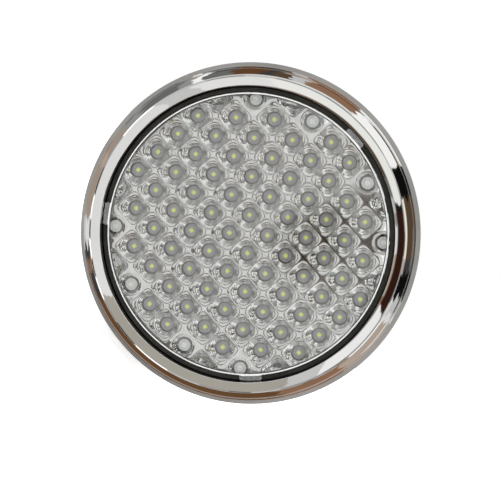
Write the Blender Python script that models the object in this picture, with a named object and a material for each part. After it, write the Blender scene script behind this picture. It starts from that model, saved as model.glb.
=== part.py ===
"""Round LED tail lamp with a clip-on chrome ring, for recessed mounting in a trailer or truck panel.

The lamp is drawn in its own working frame: X to the right, Y up, Z out of the panel towards the viewer,
with Z = 0 on the panel. A parent empty turns that frame so that the lamp faces -Y with +Z up.
All the sizes below are in millimetres; mesh points are written in metres.
"""

import math

import bmesh
import bpy
from mathutils import Matrix, Vector

MM = 0.001
GAP = 0.3

# The grid of light cells
PITCH = 11.13
CUP_SIDES = 6
CUP_MOUTH = 0.46 * PITCH
CUP_FOOT = 3.3
LED_WIDTH = 3.5
HALF_COLUMNS = {0.5: 4.5, 1.5: 3.5, 2.5: 3.5, 3.5: 2.5, 4.5: 1.5}
RIVET_CELLS = ((1.5, 4.5), (3.5, 3.5))
POCKET_FLOOR = 0.6
POCKET_FLOOR_R = 3.0
POCKET_MOUTH_R = 4.5

# Levels along the lamp's axis, from the front to the back
CREST_TOP = 12.4
RING_INNER_EDGE = 10.9
LENS_DOME = 8.8
LENS_FRONT = 7.9
LENS_THICK = 2.0
LUG_BACK = 6.7
SEAL_FRONT = 6.4
REFLECTOR_TOP = 4.9
SHOULDER = 4.25
FLANGE_TOP = 3.0
LIP_TOP = 1.5
FLANGE_BACK = 1.4
GASKET_TOP = 1.1
LED_TOP = -0.2
REFLECTOR_FOOT = -0.4
COPPER_TOP = -0.7
COPPER_FOOT = -0.9
BOARD_TOP = -1.2
BOARD_FOOT = -2.8
PANEL_THICK = 3.0
FLOOR_INSIDE = -16.0
FLOOR_OUTSIDE = -18.5
SOCKET_MOUTH = -34.0

# Radii, from the outside in
LIP_R = 70.0
SHOULDER_R = 67.5
FLANGE_R = 67.3
CREST_R = 63.7
RING_INNER_R = 59.7
RING_WALL = 1.3
BODY_R = 59.8
BODY_INNER_R = 58.3
INSIDE_R = 58.0
CUP_LIMIT_R = 56.4
POCKET_LIMIT_R = 57.7
LENS_R = 57.3
SEAL_INNER_R = 57.6
SEAL_OUTER_R = 59.4
LENS_SKIRT = 0.9

# The three lens lugs lie at uneven steps, so the lens goes in one way only
LUG_ANGLES = (90.0, -40.0, 220.0)
LUG_WIDTH = 9.3

# Fixings
STUD_ANGLES = (30.0, 150.0, 270.0)
STUD_CIRCLE_R = 64.2
STUD_R = 2.0
STUD_TIP = -13.0
STUD_HEAD_R = 2.9
STUD_HEAD_THICK = 0.8
WASHER_R = 4.0
WASHER_THICK = 0.8
SPRING_WASHER_R = 3.6
SPRING_WASHER_THICK = 0.9
NUT_FLATS = 7.0
NUT_THICK = 3.2
RIVET_HEAD_R = 1.9
RIVET_HEAD_THICK = 0.9
RIVET_SHANK_R = 1.2
RIVET_HOLLOW_R = 0.8
RIVET_TIP = -8.0
BOSS_R = 2.7

# Rear connector
SOCKET_HOLLOW = (26.0, 12.0)
SOCKET_WALL = 1.6
SOCKET_PLATE = (46.0, 20.0)
SOCKET_PLATE_THICK = 2.0
SEAL_PLATE = (34.0, 18.0)
SEAL_THICK = 1.0
APERTURE = (28.0, 12.0)
PIN_STEP = 8.0
PIN_R = 1.25
PIN_INNER_END = -14.5
PIN_TIP = -31.0
SOCKET_SCREW_X = 19.5
SOCKET_SCREW_R = 1.4
CIRCUITS = ("tail", "ground", "stop")
LEAD_R = 0.8
LEAD_POINTS = 9

# Breather plug in the body's floor
VENT_PLACE = (0.0, 32.0)
VENT_R = 3.0

# Ribs on the body's rear shoulder
RIB_COUNT = 12
RIB_THICK = 1.8

ROUND_SIDES = 48


def start_clean():
    for obj in list(bpy.data.objects):
        bpy.data.objects.remove(obj, do_unlink=True)


def finish(name, color, metallic=0.0, roughness=0.5, alpha=1.0):
    """A plain Principled material."""
    material = bpy.data.materials.new(name)
    material.use_nodes = True
    shader = material.node_tree.nodes["Principled BSDF"]
    shader.inputs["Base Color"].default_value = (*color, 1.0)
    shader.inputs["Metallic"].default_value = metallic
    shader.inputs["Roughness"].default_value = roughness
    shader.inputs["Alpha"].default_value = alpha
    material.diffuse_color = (*color, alpha)
    return material


def add_object(name, bm, material=None, smooth=True):
    """Turns a bmesh, drawn in millimetres, into an object of the lamp."""
    bmesh.ops.remove_doubles(bm, verts=bm.verts, dist=1e-4)
    bmesh.ops.recalc_face_normals(bm, faces=bm.faces)
    bmesh.ops.scale(bm, vec=Vector((MM, MM, MM)), verts=bm.verts)
    mesh = bpy.data.meshes.new(name)
    bm.to_mesh(mesh)
    bm.free()
    if smooth:
        mesh.shade_smooth()
        mesh.set_sharp_from_angle(angle=math.radians(35))
    if material:
        mesh.materials.append(material)
    obj = bpy.data.objects.new(name, mesh)
    obj.parent = LAMP
    bpy.context.scene.collection.objects.link(obj)
    return obj


def spin_into(bm, outline, sides):
    """Adds the closed body that the outline of (radius, height) points sweeps round Z.

    An outline whose first and last points lie on the axis makes a body with a flat disc at each end.
    """
    solid = outline[0][0] == 0
    points = outline[1:-1] if solid else outline
    verts = [bm.verts.new((r, 0.0, z)) for r, z in points]
    followers = verts[1:] if solid else verts[1:] + verts[:1]
    edges = [bm.edges.new(pair) for pair in zip(verts, followers)]
    bmesh.ops.spin(bm, geom=verts + edges, cent=(0, 0, 0), axis=(0, 0, 1),
                   dvec=(0, 0, 0), angle=2 * math.pi, steps=sides, use_merge=True)
    bmesh.ops.holes_fill(bm, edges=[edge for edge in bm.edges if edge.is_boundary], sides=0)


def turned(name, outline, material=None, sides=ROUND_SIDES, at=(0.0, 0.0), smooth=True):
    """A body of revolution about the line through (x, y), parallel to the lamp's axis."""
    bm = bmesh.new()
    spin_into(bm, outline, sides)
    obj = add_object(name, bm, material, smooth)
    obj.location = (at[0] * MM, at[1] * MM, 0.0)
    return obj


def prism_into(bm, corners, bottom, top):
    """Adds a closed prism on the (x, y) corners, between two heights."""
    low = [bm.verts.new((x, y, bottom)) for x, y in corners]
    face = bm.faces.new(low)
    raised = bmesh.ops.extrude_face_region(bm, geom=[face])
    high = [v for v in raised["geom"] if isinstance(v, bmesh.types.BMVert)]
    bmesh.ops.translate(bm, vec=(0, 0, top - bottom), verts=high)


def prism(name, corners, bottom, top, material=None, at=(0.0, 0.0)):
    bm = bmesh.new()
    prism_into(bm, corners, bottom, top)
    obj = add_object(name, bm, material, smooth=False)
    obj.location = (at[0] * MM, at[1] * MM, 0.0)
    return obj


def frustum_into(bm, x, y, low_r, high_r, low, high, sides, turn=0.0):
    """Adds a closed many-sided frustum that stands at (x, y)."""
    made = bmesh.ops.create_cone(bm, cap_ends=True, segments=sides, radius1=low_r, radius2=high_r,
                                 depth=high - low)
    place = Matrix.Translation((x, y, (low + high) / 2)) @ Matrix.Rotation(turn, 4, "Z")
    bmesh.ops.transform(bm, matrix=place, verts=made["verts"])


def rectangle(width, height):
    w, h = width / 2, height / 2
    return [(-w, -h), (w, -h), (w, h), (-w, h)]


def rounded_rectangle(width, height, radius, steps=3):
    """Corners of a rectangle with round corners, each of a few points."""
    points = []
    centres = ((1, 1, 0.0), (-1, 1, 90.0), (-1, -1, 180.0), (1, -1, 270.0))
    for side_x, side_y, first in centres:
        cx, cy = side_x * (width / 2 - radius), side_y * (height / 2 - radius)
        for step in range(steps + 1):
            angle = math.radians(first + 90.0 * step / steps)
            points.append((cx + radius * math.cos(angle), cy + radius * math.sin(angle)))
    return points


def arc(centre, radii, first, last, steps):
    """Points of an elliptical arc in the outline's plane, in degrees."""
    angles = [math.radians(first + (last - first) * i / steps) for i in range(steps + 1)]
    return [(centre[0] + radii[0] * math.cos(a), centre[1] + radii[1] * math.sin(a)) for a in angles]


def polar(radius, degrees):
    angle = math.radians(degrees)
    return radius * math.cos(angle), radius * math.sin(angle)


def combine(obj, other, operation):
    """Adds a Boolean with a hidden helper body."""
    other.hide_render = True
    other.display_type = "WIRE"
    modifier = obj.modifiers.new(operation.lower() + "_" + other.name, "BOOLEAN")
    modifier.operation = operation
    modifier.solver = "EXACT"
    modifier.object = other
    return obj


def cut(obj, other):
    return combine(obj, other, "DIFFERENCE")


def join(obj, other):
    return combine(obj, other, "UNION")


def mirrored(x, y):
    """The cell's four places, one in each quarter of the grid."""
    return [(x * sx, y * sy) for sy in (1, -1) for sx in (1, -1)]


def led_cells():
    """Places of the lit cells, in cell widths from the lamp's axis."""
    cells = []
    for x, top in HALF_COLUMNS.items():
        for row in range(int(top + 0.5)):
            cells += mirrored(x, row + 0.5)
    return cells


def rivet_cells():
    first, corner = RIVET_CELLS
    return mirrored(*first) + mirrored(*corner)


start_clean()
LAMP = bpy.data.objects.new("lamp_frame", None)
LAMP.rotation_euler = (math.pi / 2, 0, 0)
bpy.context.scene.collection.objects.link(LAMP)

CHROME = finish("chrome_plate", (0.82, 0.82, 0.83), metallic=1.0, roughness=0.06)
CLEAR = finish("clear_polycarbonate", (0.93, 0.94, 0.95), roughness=0.03, alpha=0.3)
METALLISED = finish("metallised_plastic", (0.75, 0.75, 0.76), metallic=1.0, roughness=0.15)
RUBBER = finish("black_rubber", (0.03, 0.03, 0.03), roughness=0.7)
FOAM = finish("foam_gasket", (0.06, 0.06, 0.065), roughness=0.95)
BLACK_ABS = finish("black_abs", (0.035, 0.035, 0.038), roughness=0.55)
BOARD_WHITE = finish("board_white", (0.78, 0.79, 0.76), roughness=0.5)
LED_PACK = finish("led_pack", (0.72, 0.76, 0.45), roughness=0.3)
RIVET_NYLON = finish("rivet_nylon", (0.80, 0.80, 0.79), roughness=0.4)
ZINC = finish("zinc_steel", (0.66, 0.67, 0.68), metallic=1.0, roughness=0.3)
TINNED = finish("tinned_brass", (0.80, 0.76, 0.62), metallic=1.0, roughness=0.25)
WIRE_RED = finish("wire_red", (0.45, 0.03, 0.03), roughness=0.5)
CHIP = finish("chip_black", (0.03, 0.03, 0.035), roughness=0.45)
CAN = finish("capacitor_sleeve", (0.05, 0.06, 0.12), roughness=0.35)
CERAMIC = finish("resistor_body", (0.05, 0.05, 0.05), roughness=0.5)


# ---- front: chrome ring, lens, rubber ring ----

def chrome_bezel():
    """Thin plated ring: a sloping lip, a high rounded wall, a wide crest band and a wall to the flange."""
    outside = [(LIP_R - 0.2, GAP), (LIP_R, LIP_TOP), (SHOULDER_R, SHOULDER)]
    outside += arc((CREST_R, SHOULDER), (SHOULDER_R - CREST_R - 0.15, CREST_TOP - SHOULDER), 8, 90, 5)
    edge = 0.8
    outside += arc((RING_INNER_R + edge, RING_INNER_EDGE - edge), (edge, edge), 100, 180, 2)
    outside += [(RING_INNER_R, FLANGE_TOP + GAP)]
    inner_r = RING_INNER_R + RING_WALL
    under_crest = CREST_TOP - RING_WALL
    inside = [(inner_r, FLANGE_TOP + GAP), (inner_r, RING_INNER_EDGE - RING_WALL - 0.2)]
    hollow_radii = (SHOULDER_R - CREST_R - RING_WALL - 0.2, under_crest - SHOULDER)
    hollow = arc((CREST_R, SHOULDER), hollow_radii, 90, 0, 3)
    skirt_r = FLANGE_R + 0.45
    bead_r = FLANGE_R - 0.4
    inside += hollow + [(skirt_r, 2.4), (skirt_r, FLANGE_BACK), (bead_r, GASKET_TOP), (bead_r + 0.3, GAP)]
    return turned("chrome_bezel", outside + inside, CHROME)


def lens():
    """Clear disc with a slight dome, a thin skirt round its back and three lugs over the rubber ring."""
    back = LENS_FRONT - LENS_THICK
    rise = LENS_DOME - LENS_FRONT
    dome = [(LENS_R * f, LENS_FRONT + rise * (1 - f * f)) for f in (0.0, 0.45, 0.75, 0.985)]
    dome += [(LENS_R, LENS_FRONT - 0.3)]
    inner = [(LENS_R, REFLECTOR_TOP + GAP), (LENS_R - LENS_SKIRT, REFLECTOR_TOP + GAP)]
    inner += [(LENS_R - LENS_SKIRT, back), (LENS_R * 0.5, back + rise * 0.75), (0, back + rise)]
    disc = turned("lens", dome + inner, CLEAR)
    bm = bmesh.new()
    for angle in LUG_ANGLES:
        corners = [polar(r, angle + side * math.degrees(LUG_WIDTH / 2 / r))
                   for r, side in ((LENS_R - 1.5, -1), (SEAL_OUTER_R, -1), (SEAL_OUTER_R, 0),
                                   (SEAL_OUTER_R, 1), (LENS_R - 1.5, 1))]
        prism_into(bm, corners, LUG_BACK, LENS_FRONT - 0.1)
    return join(disc, add_object("lens_lugs", bm))


def seal_ring():
    """Rubber ring of an L section that closes the space round the lens."""
    outline = [(SEAL_INNER_R, REFLECTOR_TOP + GAP), (SEAL_INNER_R, SEAL_FRONT - 0.4),
               (SEAL_INNER_R + 0.4, SEAL_FRONT), (SEAL_OUTER_R - 0.4, SEAL_FRONT),
               (SEAL_OUTER_R, SEAL_FRONT - 0.4), (SEAL_OUTER_R, FLANGE_TOP + GAP),
               (BODY_INNER_R + GAP, FLANGE_TOP + GAP), (BODY_INNER_R + GAP, REFLECTOR_TOP + GAP)]
    return turned("seal_ring", outline, RUBBER)


# ---- optics: reflector, LEDs, board, rivets ----

def limit_disc(name, radius):
    """Thick disc that keeps a cutter inside a radius."""
    return turned(name, [(0, -3), (radius, -3), (radius, 8), (0, 8)])


def cup_cutter():
    """Every cup as one cutter, held inside the reflector's outer wall."""
    bm = bmesh.new()
    for x, y in led_cells():
        frustum_into(bm, x * PITCH, y * PITCH, CUP_FOOT - 0.3, CUP_MOUTH + 0.1,
                     REFLECTOR_FOOT - 0.5, REFLECTOR_TOP + 0.1, CUP_SIDES, math.pi / CUP_SIDES)
    cups = add_object("cup_cutter", bm)
    return combine(cups, limit_disc("cup_limit", CUP_LIMIT_R), "INTERSECT")


def pocket_cutter():
    """Open pockets that take the rivet heads, held inside the reflector's outer wall."""
    bm = bmesh.new()
    for x, y in rivet_cells():
        frustum_into(bm, x * PITCH, y * PITCH, POCKET_FLOOR_R, POCKET_MOUTH_R,
                     POCKET_FLOOR, REFLECTOR_TOP + 0.1, 8, math.pi / 8)
    pockets = add_object("pocket_cutter", bm)
    return combine(pockets, limit_disc("pocket_limit", POCKET_LIMIT_R), "INTERSECT")


def rivet_hole_cutter(name, top, bottom, radius):
    bm = bmesh.new()
    for x, y in rivet_cells():
        frustum_into(bm, x * PITCH, y * PITCH, radius, radius, bottom, top, 8)
    return add_object(name, bm)


def reflector():
    """Metallised plate with one cup for each LED and a pocket for each rivet."""
    outline = [(0, REFLECTOR_FOOT), (INSIDE_R, REFLECTOR_FOOT), (INSIDE_R, REFLECTOR_TOP), (0, REFLECTOR_TOP)]
    plate = turned("reflector", outline, METALLISED)
    cut(plate, cup_cutter())
    cut(plate, pocket_cutter())
    return cut(plate, rivet_hole_cutter("reflector_rivet_holes", 2, -2, RIVET_SHANK_R + GAP))


def led_array():
    """The LEDs on the copper layer that joins them."""
    outline = [(0, COPPER_FOOT), (INSIDE_R - 0.3, COPPER_FOOT), (INSIDE_R - 0.3, COPPER_TOP), (0, COPPER_TOP)]
    layer = turned("led_array", outline, LED_PACK)
    bm = bmesh.new()
    for x, y in led_cells():
        half = LED_WIDTH / 2
        corners = [(x * PITCH + side_x * half, y * PITCH + side_y * half)
                   for side_x, side_y in ((-1, -1), (1, -1), (1, 1), (-1, 1))]
        prism_into(bm, corners, COPPER_FOOT + 0.05, LED_TOP)
    join(layer, add_object("led_packages", bm))
    return cut(layer, rivet_hole_cutter("layer_rivet_holes", 1, -3, RIVET_SHANK_R + GAP))


def circuit_board():
    outline = [(0, BOARD_FOOT), (INSIDE_R, BOARD_FOOT), (INSIDE_R, BOARD_TOP), (0, BOARD_TOP)]
    board = turned("circuit_board", outline, BOARD_WHITE)
    return cut(board, rivet_hole_cutter("board_rivet_holes", 1, -5, RIVET_SHANK_R + GAP))


def rivets():
    """Hollow-headed push rivets that hold reflector and board on the bosses of the body."""
    seat = POCKET_FLOOR + GAP
    top = seat + RIVET_HEAD_THICK
    for number, (x, y) in enumerate(rivet_cells(), 1):
        outline = [(0, RIVET_TIP), (RIVET_SHANK_R - 0.5, RIVET_TIP), (RIVET_SHANK_R, RIVET_TIP + 1.0),
                   (RIVET_SHANK_R, seat), (RIVET_HEAD_R, seat), (RIVET_HEAD_R, top - 0.25),
                   (RIVET_HEAD_R - 0.25, top), (RIVET_HOLLOW_R, top), (RIVET_HOLLOW_R, top - 0.7),
                   (0, top - 0.7)]
        turned(f"optic_rivet_{number}", outline, RIVET_NYLON, sides=8, at=(x * PITCH, y * PITCH))


# ---- body, gasket and panel fixings ----

def stud_holes(name, radius, bottom, top):
    bm = bmesh.new()
    for angle in STUD_ANGLES:
        x, y = polar(STUD_CIRCLE_R, angle)
        frustum_into(bm, x, y, radius, radius, bottom, top, 16)
    return add_object(name, bm)


def body_bosses():
    """Columns inside the body that carry the board, one for each rivet."""
    bm = bmesh.new()
    for x, y in rivet_cells():
        frustum_into(bm, x * PITCH, y * PITCH, BOSS_R, BOSS_R, FLOOR_INSIDE - 1.0, BOARD_FOOT - GAP, 8)
    return add_object("body_bosses", bm)


def body_ribs():
    """Stiffening ribs across the body's rear shoulder."""
    bm = bmesh.new()
    for number in range(RIB_COUNT):
        angle = 360.0 * (number + 0.5) / RIB_COUNT
        half = RIB_THICK / 2
        outline = [(44.0, FLOOR_OUTSIDE + 0.8), (BODY_R - 0.8, -10.5), (BODY_R - 0.8, FLOOR_OUTSIDE + 2.5),
                   (BODY_R - 2.8, FLOOR_OUTSIDE - 0.2), (BODY_R - 5.0, FLOOR_OUTSIDE - 0.9),
                   (46.0, FLOOR_OUTSIDE - 0.9)]
        low = [bm.verts.new((r, -half, z)) for r, z in outline]
        face = bm.faces.new(low)
        raised = bmesh.ops.extrude_face_region(bm, geom=[face])
        high = [v for v in raised["geom"] if isinstance(v, bmesh.types.BMVert)]
        bmesh.ops.translate(bm, vec=(0, 2 * half, 0), verts=high)
        turn = Matrix.Rotation(math.radians(angle), 3, "Z")
        bmesh.ops.rotate(bm, verts=low + high, cent=(0, 0, 0), matrix=turn)
    return add_object("body_ribs", bm)


def connector_bosses():
    """Blind columns that the connector's screws bite in."""
    bm = bmesh.new()
    for side in (-1, 1):
        frustum_into(bm, side * SOCKET_SCREW_X, 0, 3.2, 3.2, FLOOR_OUTSIDE + 0.5, FLOOR_INSIDE + 6.5, 12)
    return add_object("connector_bosses", bm)


def connector_screw_holes():
    bm = bmesh.new()
    for side in (-1, 1):
        frustum_into(bm, side * SOCKET_SCREW_X, 0, SOCKET_SCREW_R + GAP, SOCKET_SCREW_R + GAP,
                     FLOOR_OUTSIDE - 1, FLOOR_INSIDE + 4.5, 12)
    return add_object("connector_screw_holes", bm)


def housing():
    """Black moulded body: a flange, a round tub behind the panel and a flat floor."""
    outline = [(0, FLOOR_OUTSIDE), (51.0, FLOOR_OUTSIDE), (53.0, FLOOR_OUTSIDE + 0.8), (BODY_R - 1.0, -12.8),
               (BODY_R, -11.5), (BODY_R, FLANGE_BACK), (FLANGE_R, FLANGE_BACK), (FLANGE_R, 2.4),
               (FLANGE_R - 0.6, FLANGE_TOP), (BODY_INNER_R, FLANGE_TOP), (BODY_INNER_R, -12.0),
               (54.0, FLOOR_INSIDE), (0, FLOOR_INSIDE)]
    body = turned("housing", outline, BLACK_ABS)
    join(body, body_bosses())
    join(body, body_ribs())
    join(body, connector_bosses())
    cut(body, rivet_hole_cutter("boss_holes", 0, RIVET_TIP - 1.0, RIVET_SHANK_R + GAP))
    cut(body, stud_holes("flange_stud_holes", STUD_R + GAP, 0, 6))
    cut(body, stud_holes("flange_head_seats", STUD_HEAD_R + GAP, FLANGE_TOP - 1.2, 6))
    cut(body, connector_screw_holes())
    cut(body, prism("aperture_cutter", rectangle(*APERTURE), FLOOR_OUTSIDE - 2, FLOOR_INSIDE + 2))
    vent = turned("vent_cutter", [(0, -25), (VENT_R - 0.7, -25), (VENT_R - 0.7, -10), (0, -10)], sides=16,
                  at=VENT_PLACE)
    return cut(body, vent)


def panel_gasket():
    outline = [(BODY_R + 0.4, 0), (66.4, 0), (66.4, GASKET_TOP), (BODY_R + 0.4, GASKET_TOP)]
    gasket = turned("panel_gasket", outline, FOAM, smooth=False)
    return cut(gasket, stud_holes("gasket_stud_holes", STUD_R + GAP, -2, 3))


def hexagon(flats):
    radius = flats / math.sqrt(3)
    return [polar(radius, 60.0 * i + 30.0) for i in range(6)]


def fixings():
    """Studs moulded in the flange, each with its washer, spring washer and nut behind the panel."""
    washer_top = -PANEL_THICK - GAP
    spring_top = washer_top - WASHER_THICK - GAP
    nut_top = spring_top - SPRING_WASHER_THICK - GAP
    bore = STUD_R + GAP
    for number, angle in enumerate(STUD_ANGLES, 1):
        at = polar(STUD_CIRCLE_R, angle)
        head = FLANGE_TOP - 0.1
        stud = [(0, STUD_TIP), (STUD_R - 0.5, STUD_TIP), (STUD_R, STUD_TIP + 0.5),
                (STUD_R, head - STUD_HEAD_THICK), (STUD_HEAD_R, head - STUD_HEAD_THICK),
                (STUD_HEAD_R, head), (0, head)]
        turned(f"mounting_stud_{number}", stud, ZINC, sides=16, at=at)
        flat = [(bore, washer_top), (bore, washer_top - WASHER_THICK),
                (WASHER_R, washer_top - WASHER_THICK), (WASHER_R, washer_top)]
        turned(f"flat_washer_{number}", flat, ZINC, sides=16, at=at)
        split = [(bore, spring_top), (bore, spring_top - SPRING_WASHER_THICK),
                 (SPRING_WASHER_R, spring_top - SPRING_WASHER_THICK), (SPRING_WASHER_R, spring_top)]
        ring = turned(f"spring_washer_{number}", split, ZINC, sides=16, at=at)
        beside = (at[0] + 3.0, at[1])
        notch = prism(f"spring_notch_{number}", rectangle(3.0, 0.6), nut_top - 1, washer_top, at=beside)
        cut(ring, notch)
        nut = prism(f"hex_nut_{number}", hexagon(NUT_FLATS), nut_top - NUT_THICK, nut_top, ZINC, at=at)
        through = [(0, STUD_TIP - 5), (bore, STUD_TIP - 5), (bore, 0), (0, 0)]
        cut(nut, turned(f"nut_bore_{number}", through, sides=16, at=at))


# ---- rear connector ----

def connector():
    seal_top = FLOOR_OUTSIDE - GAP
    plate_top = seal_top - SEAL_THICK - GAP
    floor = plate_top - SOCKET_PLATE_THICK
    seal_outline = rounded_rectangle(*SEAL_PLATE, 3.0)
    seal = prism("connector_seal", seal_outline, seal_top - SEAL_THICK, seal_top, RUBBER)
    cut(seal, prism("seal_window", rounded_rectangle(SEAL_PLATE[0] - 5, SEAL_PLATE[1] - 5, 2.0),
                    seal_top - 3, seal_top + 2))
    socket = prism("connector_socket", rounded_rectangle(*SOCKET_PLATE, 4.0), floor, plate_top, BLACK_ABS)
    outer = (SOCKET_HOLLOW[0] + 2 * SOCKET_WALL, SOCKET_HOLLOW[1] + 2 * SOCKET_WALL)
    join(socket, prism("socket_shroud", rounded_rectangle(*outer, 2.4), SOCKET_MOUTH, plate_top - 0.5))
    join(socket, prism("socket_nose", rectangle(24.0, 8.0), plate_top - 0.5, FLOOR_OUTSIDE + 1.5))
    cut(socket, prism("socket_hollow", rounded_rectangle(*SOCKET_HOLLOW, 1.0), SOCKET_MOUTH - 2, floor))
    bm = bmesh.new()
    for step in (-1, 0, 1):
        frustum_into(bm, step * PIN_STEP, 0, PIN_R + GAP, PIN_R + GAP, floor - 2, FLOOR_INSIDE, 12)
    for side in (-1, 1):
        frustum_into(bm, side * SOCKET_SCREW_X, 0, SOCKET_SCREW_R + GAP, SOCKET_SCREW_R + GAP,
                     floor - 2, FLOOR_INSIDE, 12)
    cut(socket, add_object("socket_holes", bm))
    for number, side in enumerate((-1, 1), 1):
        tip = FLOOR_INSIDE + 3.5
        under = floor - GAP
        screw = [(0, under - 1.8), (1.8, under - 1.8), (2.6, under - 1.2), (2.6, under),
                 (SOCKET_SCREW_R, under), (SOCKET_SCREW_R, tip - 1.2), (0.5, tip), (0, tip)]
        turned(f"connector_screw_{number}", screw, ZINC, sides=16, at=(side * SOCKET_SCREW_X, 0))


def terminals():
    """Three round pins that stand in the socket."""
    outline = [(0, PIN_TIP), (PIN_R - 0.6, PIN_TIP), (PIN_R, PIN_TIP + 1.2), (PIN_R, PIN_INNER_END),
               (0, PIN_INNER_END)]
    for step, circuit in zip((-1, 0, 1), CIRCUITS):
        turned(f"terminal_{circuit}", outline, TINNED, sides=12, at=(step * PIN_STEP, 0))


def lead_wires():
    """Insulated leads from the pins to the board, inside the body."""
    start = PIN_INNER_END + GAP
    end = BOARD_FOOT - GAP
    landings = ((-14.0, 9.0), (0.0, 12.0), (14.0, 9.0))
    for step, circuit, (x, y) in zip((-1, 0, 1), CIRCUITS, landings):
        data = bpy.data.curves.new("lead_" + circuit, "CURVE")
        data.dimensions = "3D"
        data.bevel_depth = LEAD_R * MM
        data.bevel_resolution = 1
        data.use_fill_caps = True
        data.materials.append(WIRE_RED)
        spline = data.splines.new("POLY")
        points = []
        first_x = step * PIN_STEP
        for i in range(LEAD_POINTS):
            t = i / (LEAD_POINTS - 1)
            ease = t * t * (3 - 2 * t)
            points.append((first_x + (x - first_x) * ease, y * ease, start + (end - start) * t))
        spline.points.add(len(points) - 1)
        for point, place in zip(spline.points, points):
            point.co = (*[value * MM for value in place], 1.0)
        wire = bpy.data.objects.new(data.name, data)
        wire.parent = LAMP
        bpy.context.scene.collection.objects.link(wire)


def breather():
    """Moulded plug that lets air through the rear floor."""
    outline = [(0, FLOOR_OUTSIDE - 2.4), (VENT_R + 0.4, FLOOR_OUTSIDE - 2.4),
               (VENT_R + 1.2, FLOOR_OUTSIDE - 1.6), (VENT_R + 1.2, FLOOR_OUTSIDE - GAP),
               (VENT_R - 1.0, FLOOR_OUTSIDE - GAP),
               (VENT_R - 1.0, FLOOR_INSIDE + 1.0), (0, FLOOR_INSIDE + 1.0)]
    turned("breather_plug", outline, RUBBER, sides=24, at=VENT_PLACE)


# ---- parts on the back of the board ----

def board_parts():
    """Feed diodes, current drivers, ballast resistors and a smoothing capacitor."""
    top = BOARD_FOOT - GAP
    can = [(0, top - 9.0), (3.6, top - 9.0), (4.0, top - 8.6), (4.0, top), (0, top)]
    turned("smoothing_capacitor", can, CAN, sides=24, at=(26.0, -18.0))
    for name, place in (("current_driver_tail", (-26.0, -16.0)), ("current_driver_stop", (26.0, 16.0))):
        prism(name, rectangle(9.5, 8.5), top - 4.0, top, CHIP, at=place)
    for name, place in (("feed_diode_tail", (-20.0, 20.0)), ("feed_diode_stop", (-32.0, 14.0))):
        prism(name, rectangle(5.6, 3.9), top - 2.4, top, CHIP, at=place)
    for number in range(4):
        prism(f"ballast_resistor_{number + 1}", rectangle(6.4, 3.2), top - 0.9, top, CERAMIC,
              at=(-12.0 + 8.0 * number, -30.0))


chrome_bezel()
lens()
seal_ring()
reflector()
led_array()
circuit_board()
rivets()
housing()
panel_gasket()
fixings()
connector()
terminals()
lead_wires()
breather()
board_parts()
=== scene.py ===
# %% [markdown]
# # A round tail lamp with a chrome ring
# A recessed LED lamp of this kind is a shallow black tub behind a panel. In front of the panel it
# shows a plated ring, a clear lens and a metallised plate of little cups with one LED in each.
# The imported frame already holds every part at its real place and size. This lesson gives each
# part its fine shape and its finish, from the front of the lamp to the back.

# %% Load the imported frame
import math

import bmesh
import bpy
from mathutils import Matrix, Vector


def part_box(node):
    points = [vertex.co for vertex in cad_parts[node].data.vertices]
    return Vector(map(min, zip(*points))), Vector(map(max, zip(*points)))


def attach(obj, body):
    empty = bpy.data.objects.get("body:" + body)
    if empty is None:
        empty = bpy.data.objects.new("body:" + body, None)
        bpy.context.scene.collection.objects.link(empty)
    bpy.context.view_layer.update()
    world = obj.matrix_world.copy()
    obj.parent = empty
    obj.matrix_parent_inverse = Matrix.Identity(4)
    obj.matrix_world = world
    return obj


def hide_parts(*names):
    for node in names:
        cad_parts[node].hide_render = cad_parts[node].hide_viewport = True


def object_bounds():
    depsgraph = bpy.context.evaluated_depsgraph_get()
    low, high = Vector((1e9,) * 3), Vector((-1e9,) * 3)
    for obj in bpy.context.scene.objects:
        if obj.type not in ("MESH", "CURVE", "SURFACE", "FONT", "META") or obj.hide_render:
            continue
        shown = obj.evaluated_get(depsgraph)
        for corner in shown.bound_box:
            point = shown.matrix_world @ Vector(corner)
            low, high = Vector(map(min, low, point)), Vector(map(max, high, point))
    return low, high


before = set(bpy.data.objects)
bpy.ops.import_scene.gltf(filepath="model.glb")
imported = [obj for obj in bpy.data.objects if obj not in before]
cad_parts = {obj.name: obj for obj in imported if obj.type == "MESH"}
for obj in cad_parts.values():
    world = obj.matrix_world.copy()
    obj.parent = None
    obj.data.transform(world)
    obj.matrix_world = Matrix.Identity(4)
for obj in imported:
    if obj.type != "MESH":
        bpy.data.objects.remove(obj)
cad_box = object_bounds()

print("parts in the frame:", len(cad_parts))

# %% [markdown]
# ## A working frame for a lamp
# Everything here is round about one line, so it is easiest to draw flat on a bench: X to the
# right, Y up and Z out of the panel towards the viewer, in millimetres. One matrix then stands
# the lamp up, with its front towards -Y, and turns millimetres into metres. Every piece is drawn
# on the bench and stood up by that same matrix, so no piece needs any fitting.

# %% The bench and the sizes that come from the frame
MM = 0.001
STAND_UP = Matrix.Rotation(math.pi / 2, 4, "X") @ Matrix.Scale(MM, 4)
BODY = "root"


def reach(node):
    """(radius or half width, back level, front level) of a part, in bench millimetres."""
    low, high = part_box(node)
    return round(high.x / MM, 3), round(-high.y / MM, 3), round(-low.y / MM, 3)


RING_R, RING_BACK, CREST_TOP = reach("chrome_bezel")
LENS_DOME = reach("lens")[2]
SEAL_R, SEAL_BACK, SEAL_FRONT = reach("seal_ring")
PLATE_R, PLATE_FOOT, PLATE_TOP = reach("reflector")
LED_LAYER_R, LAYER_FOOT, LED_TOP = reach("led_array")
FLANGE_R, _, FLANGE_TOP = reach("housing")
GASKET_R, GASKET_BACK, GASKET_TOP = reach("panel_gasket")
print(f"ring radius {RING_R} mm, crest {CREST_TOP} mm in front of the panel")

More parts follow.
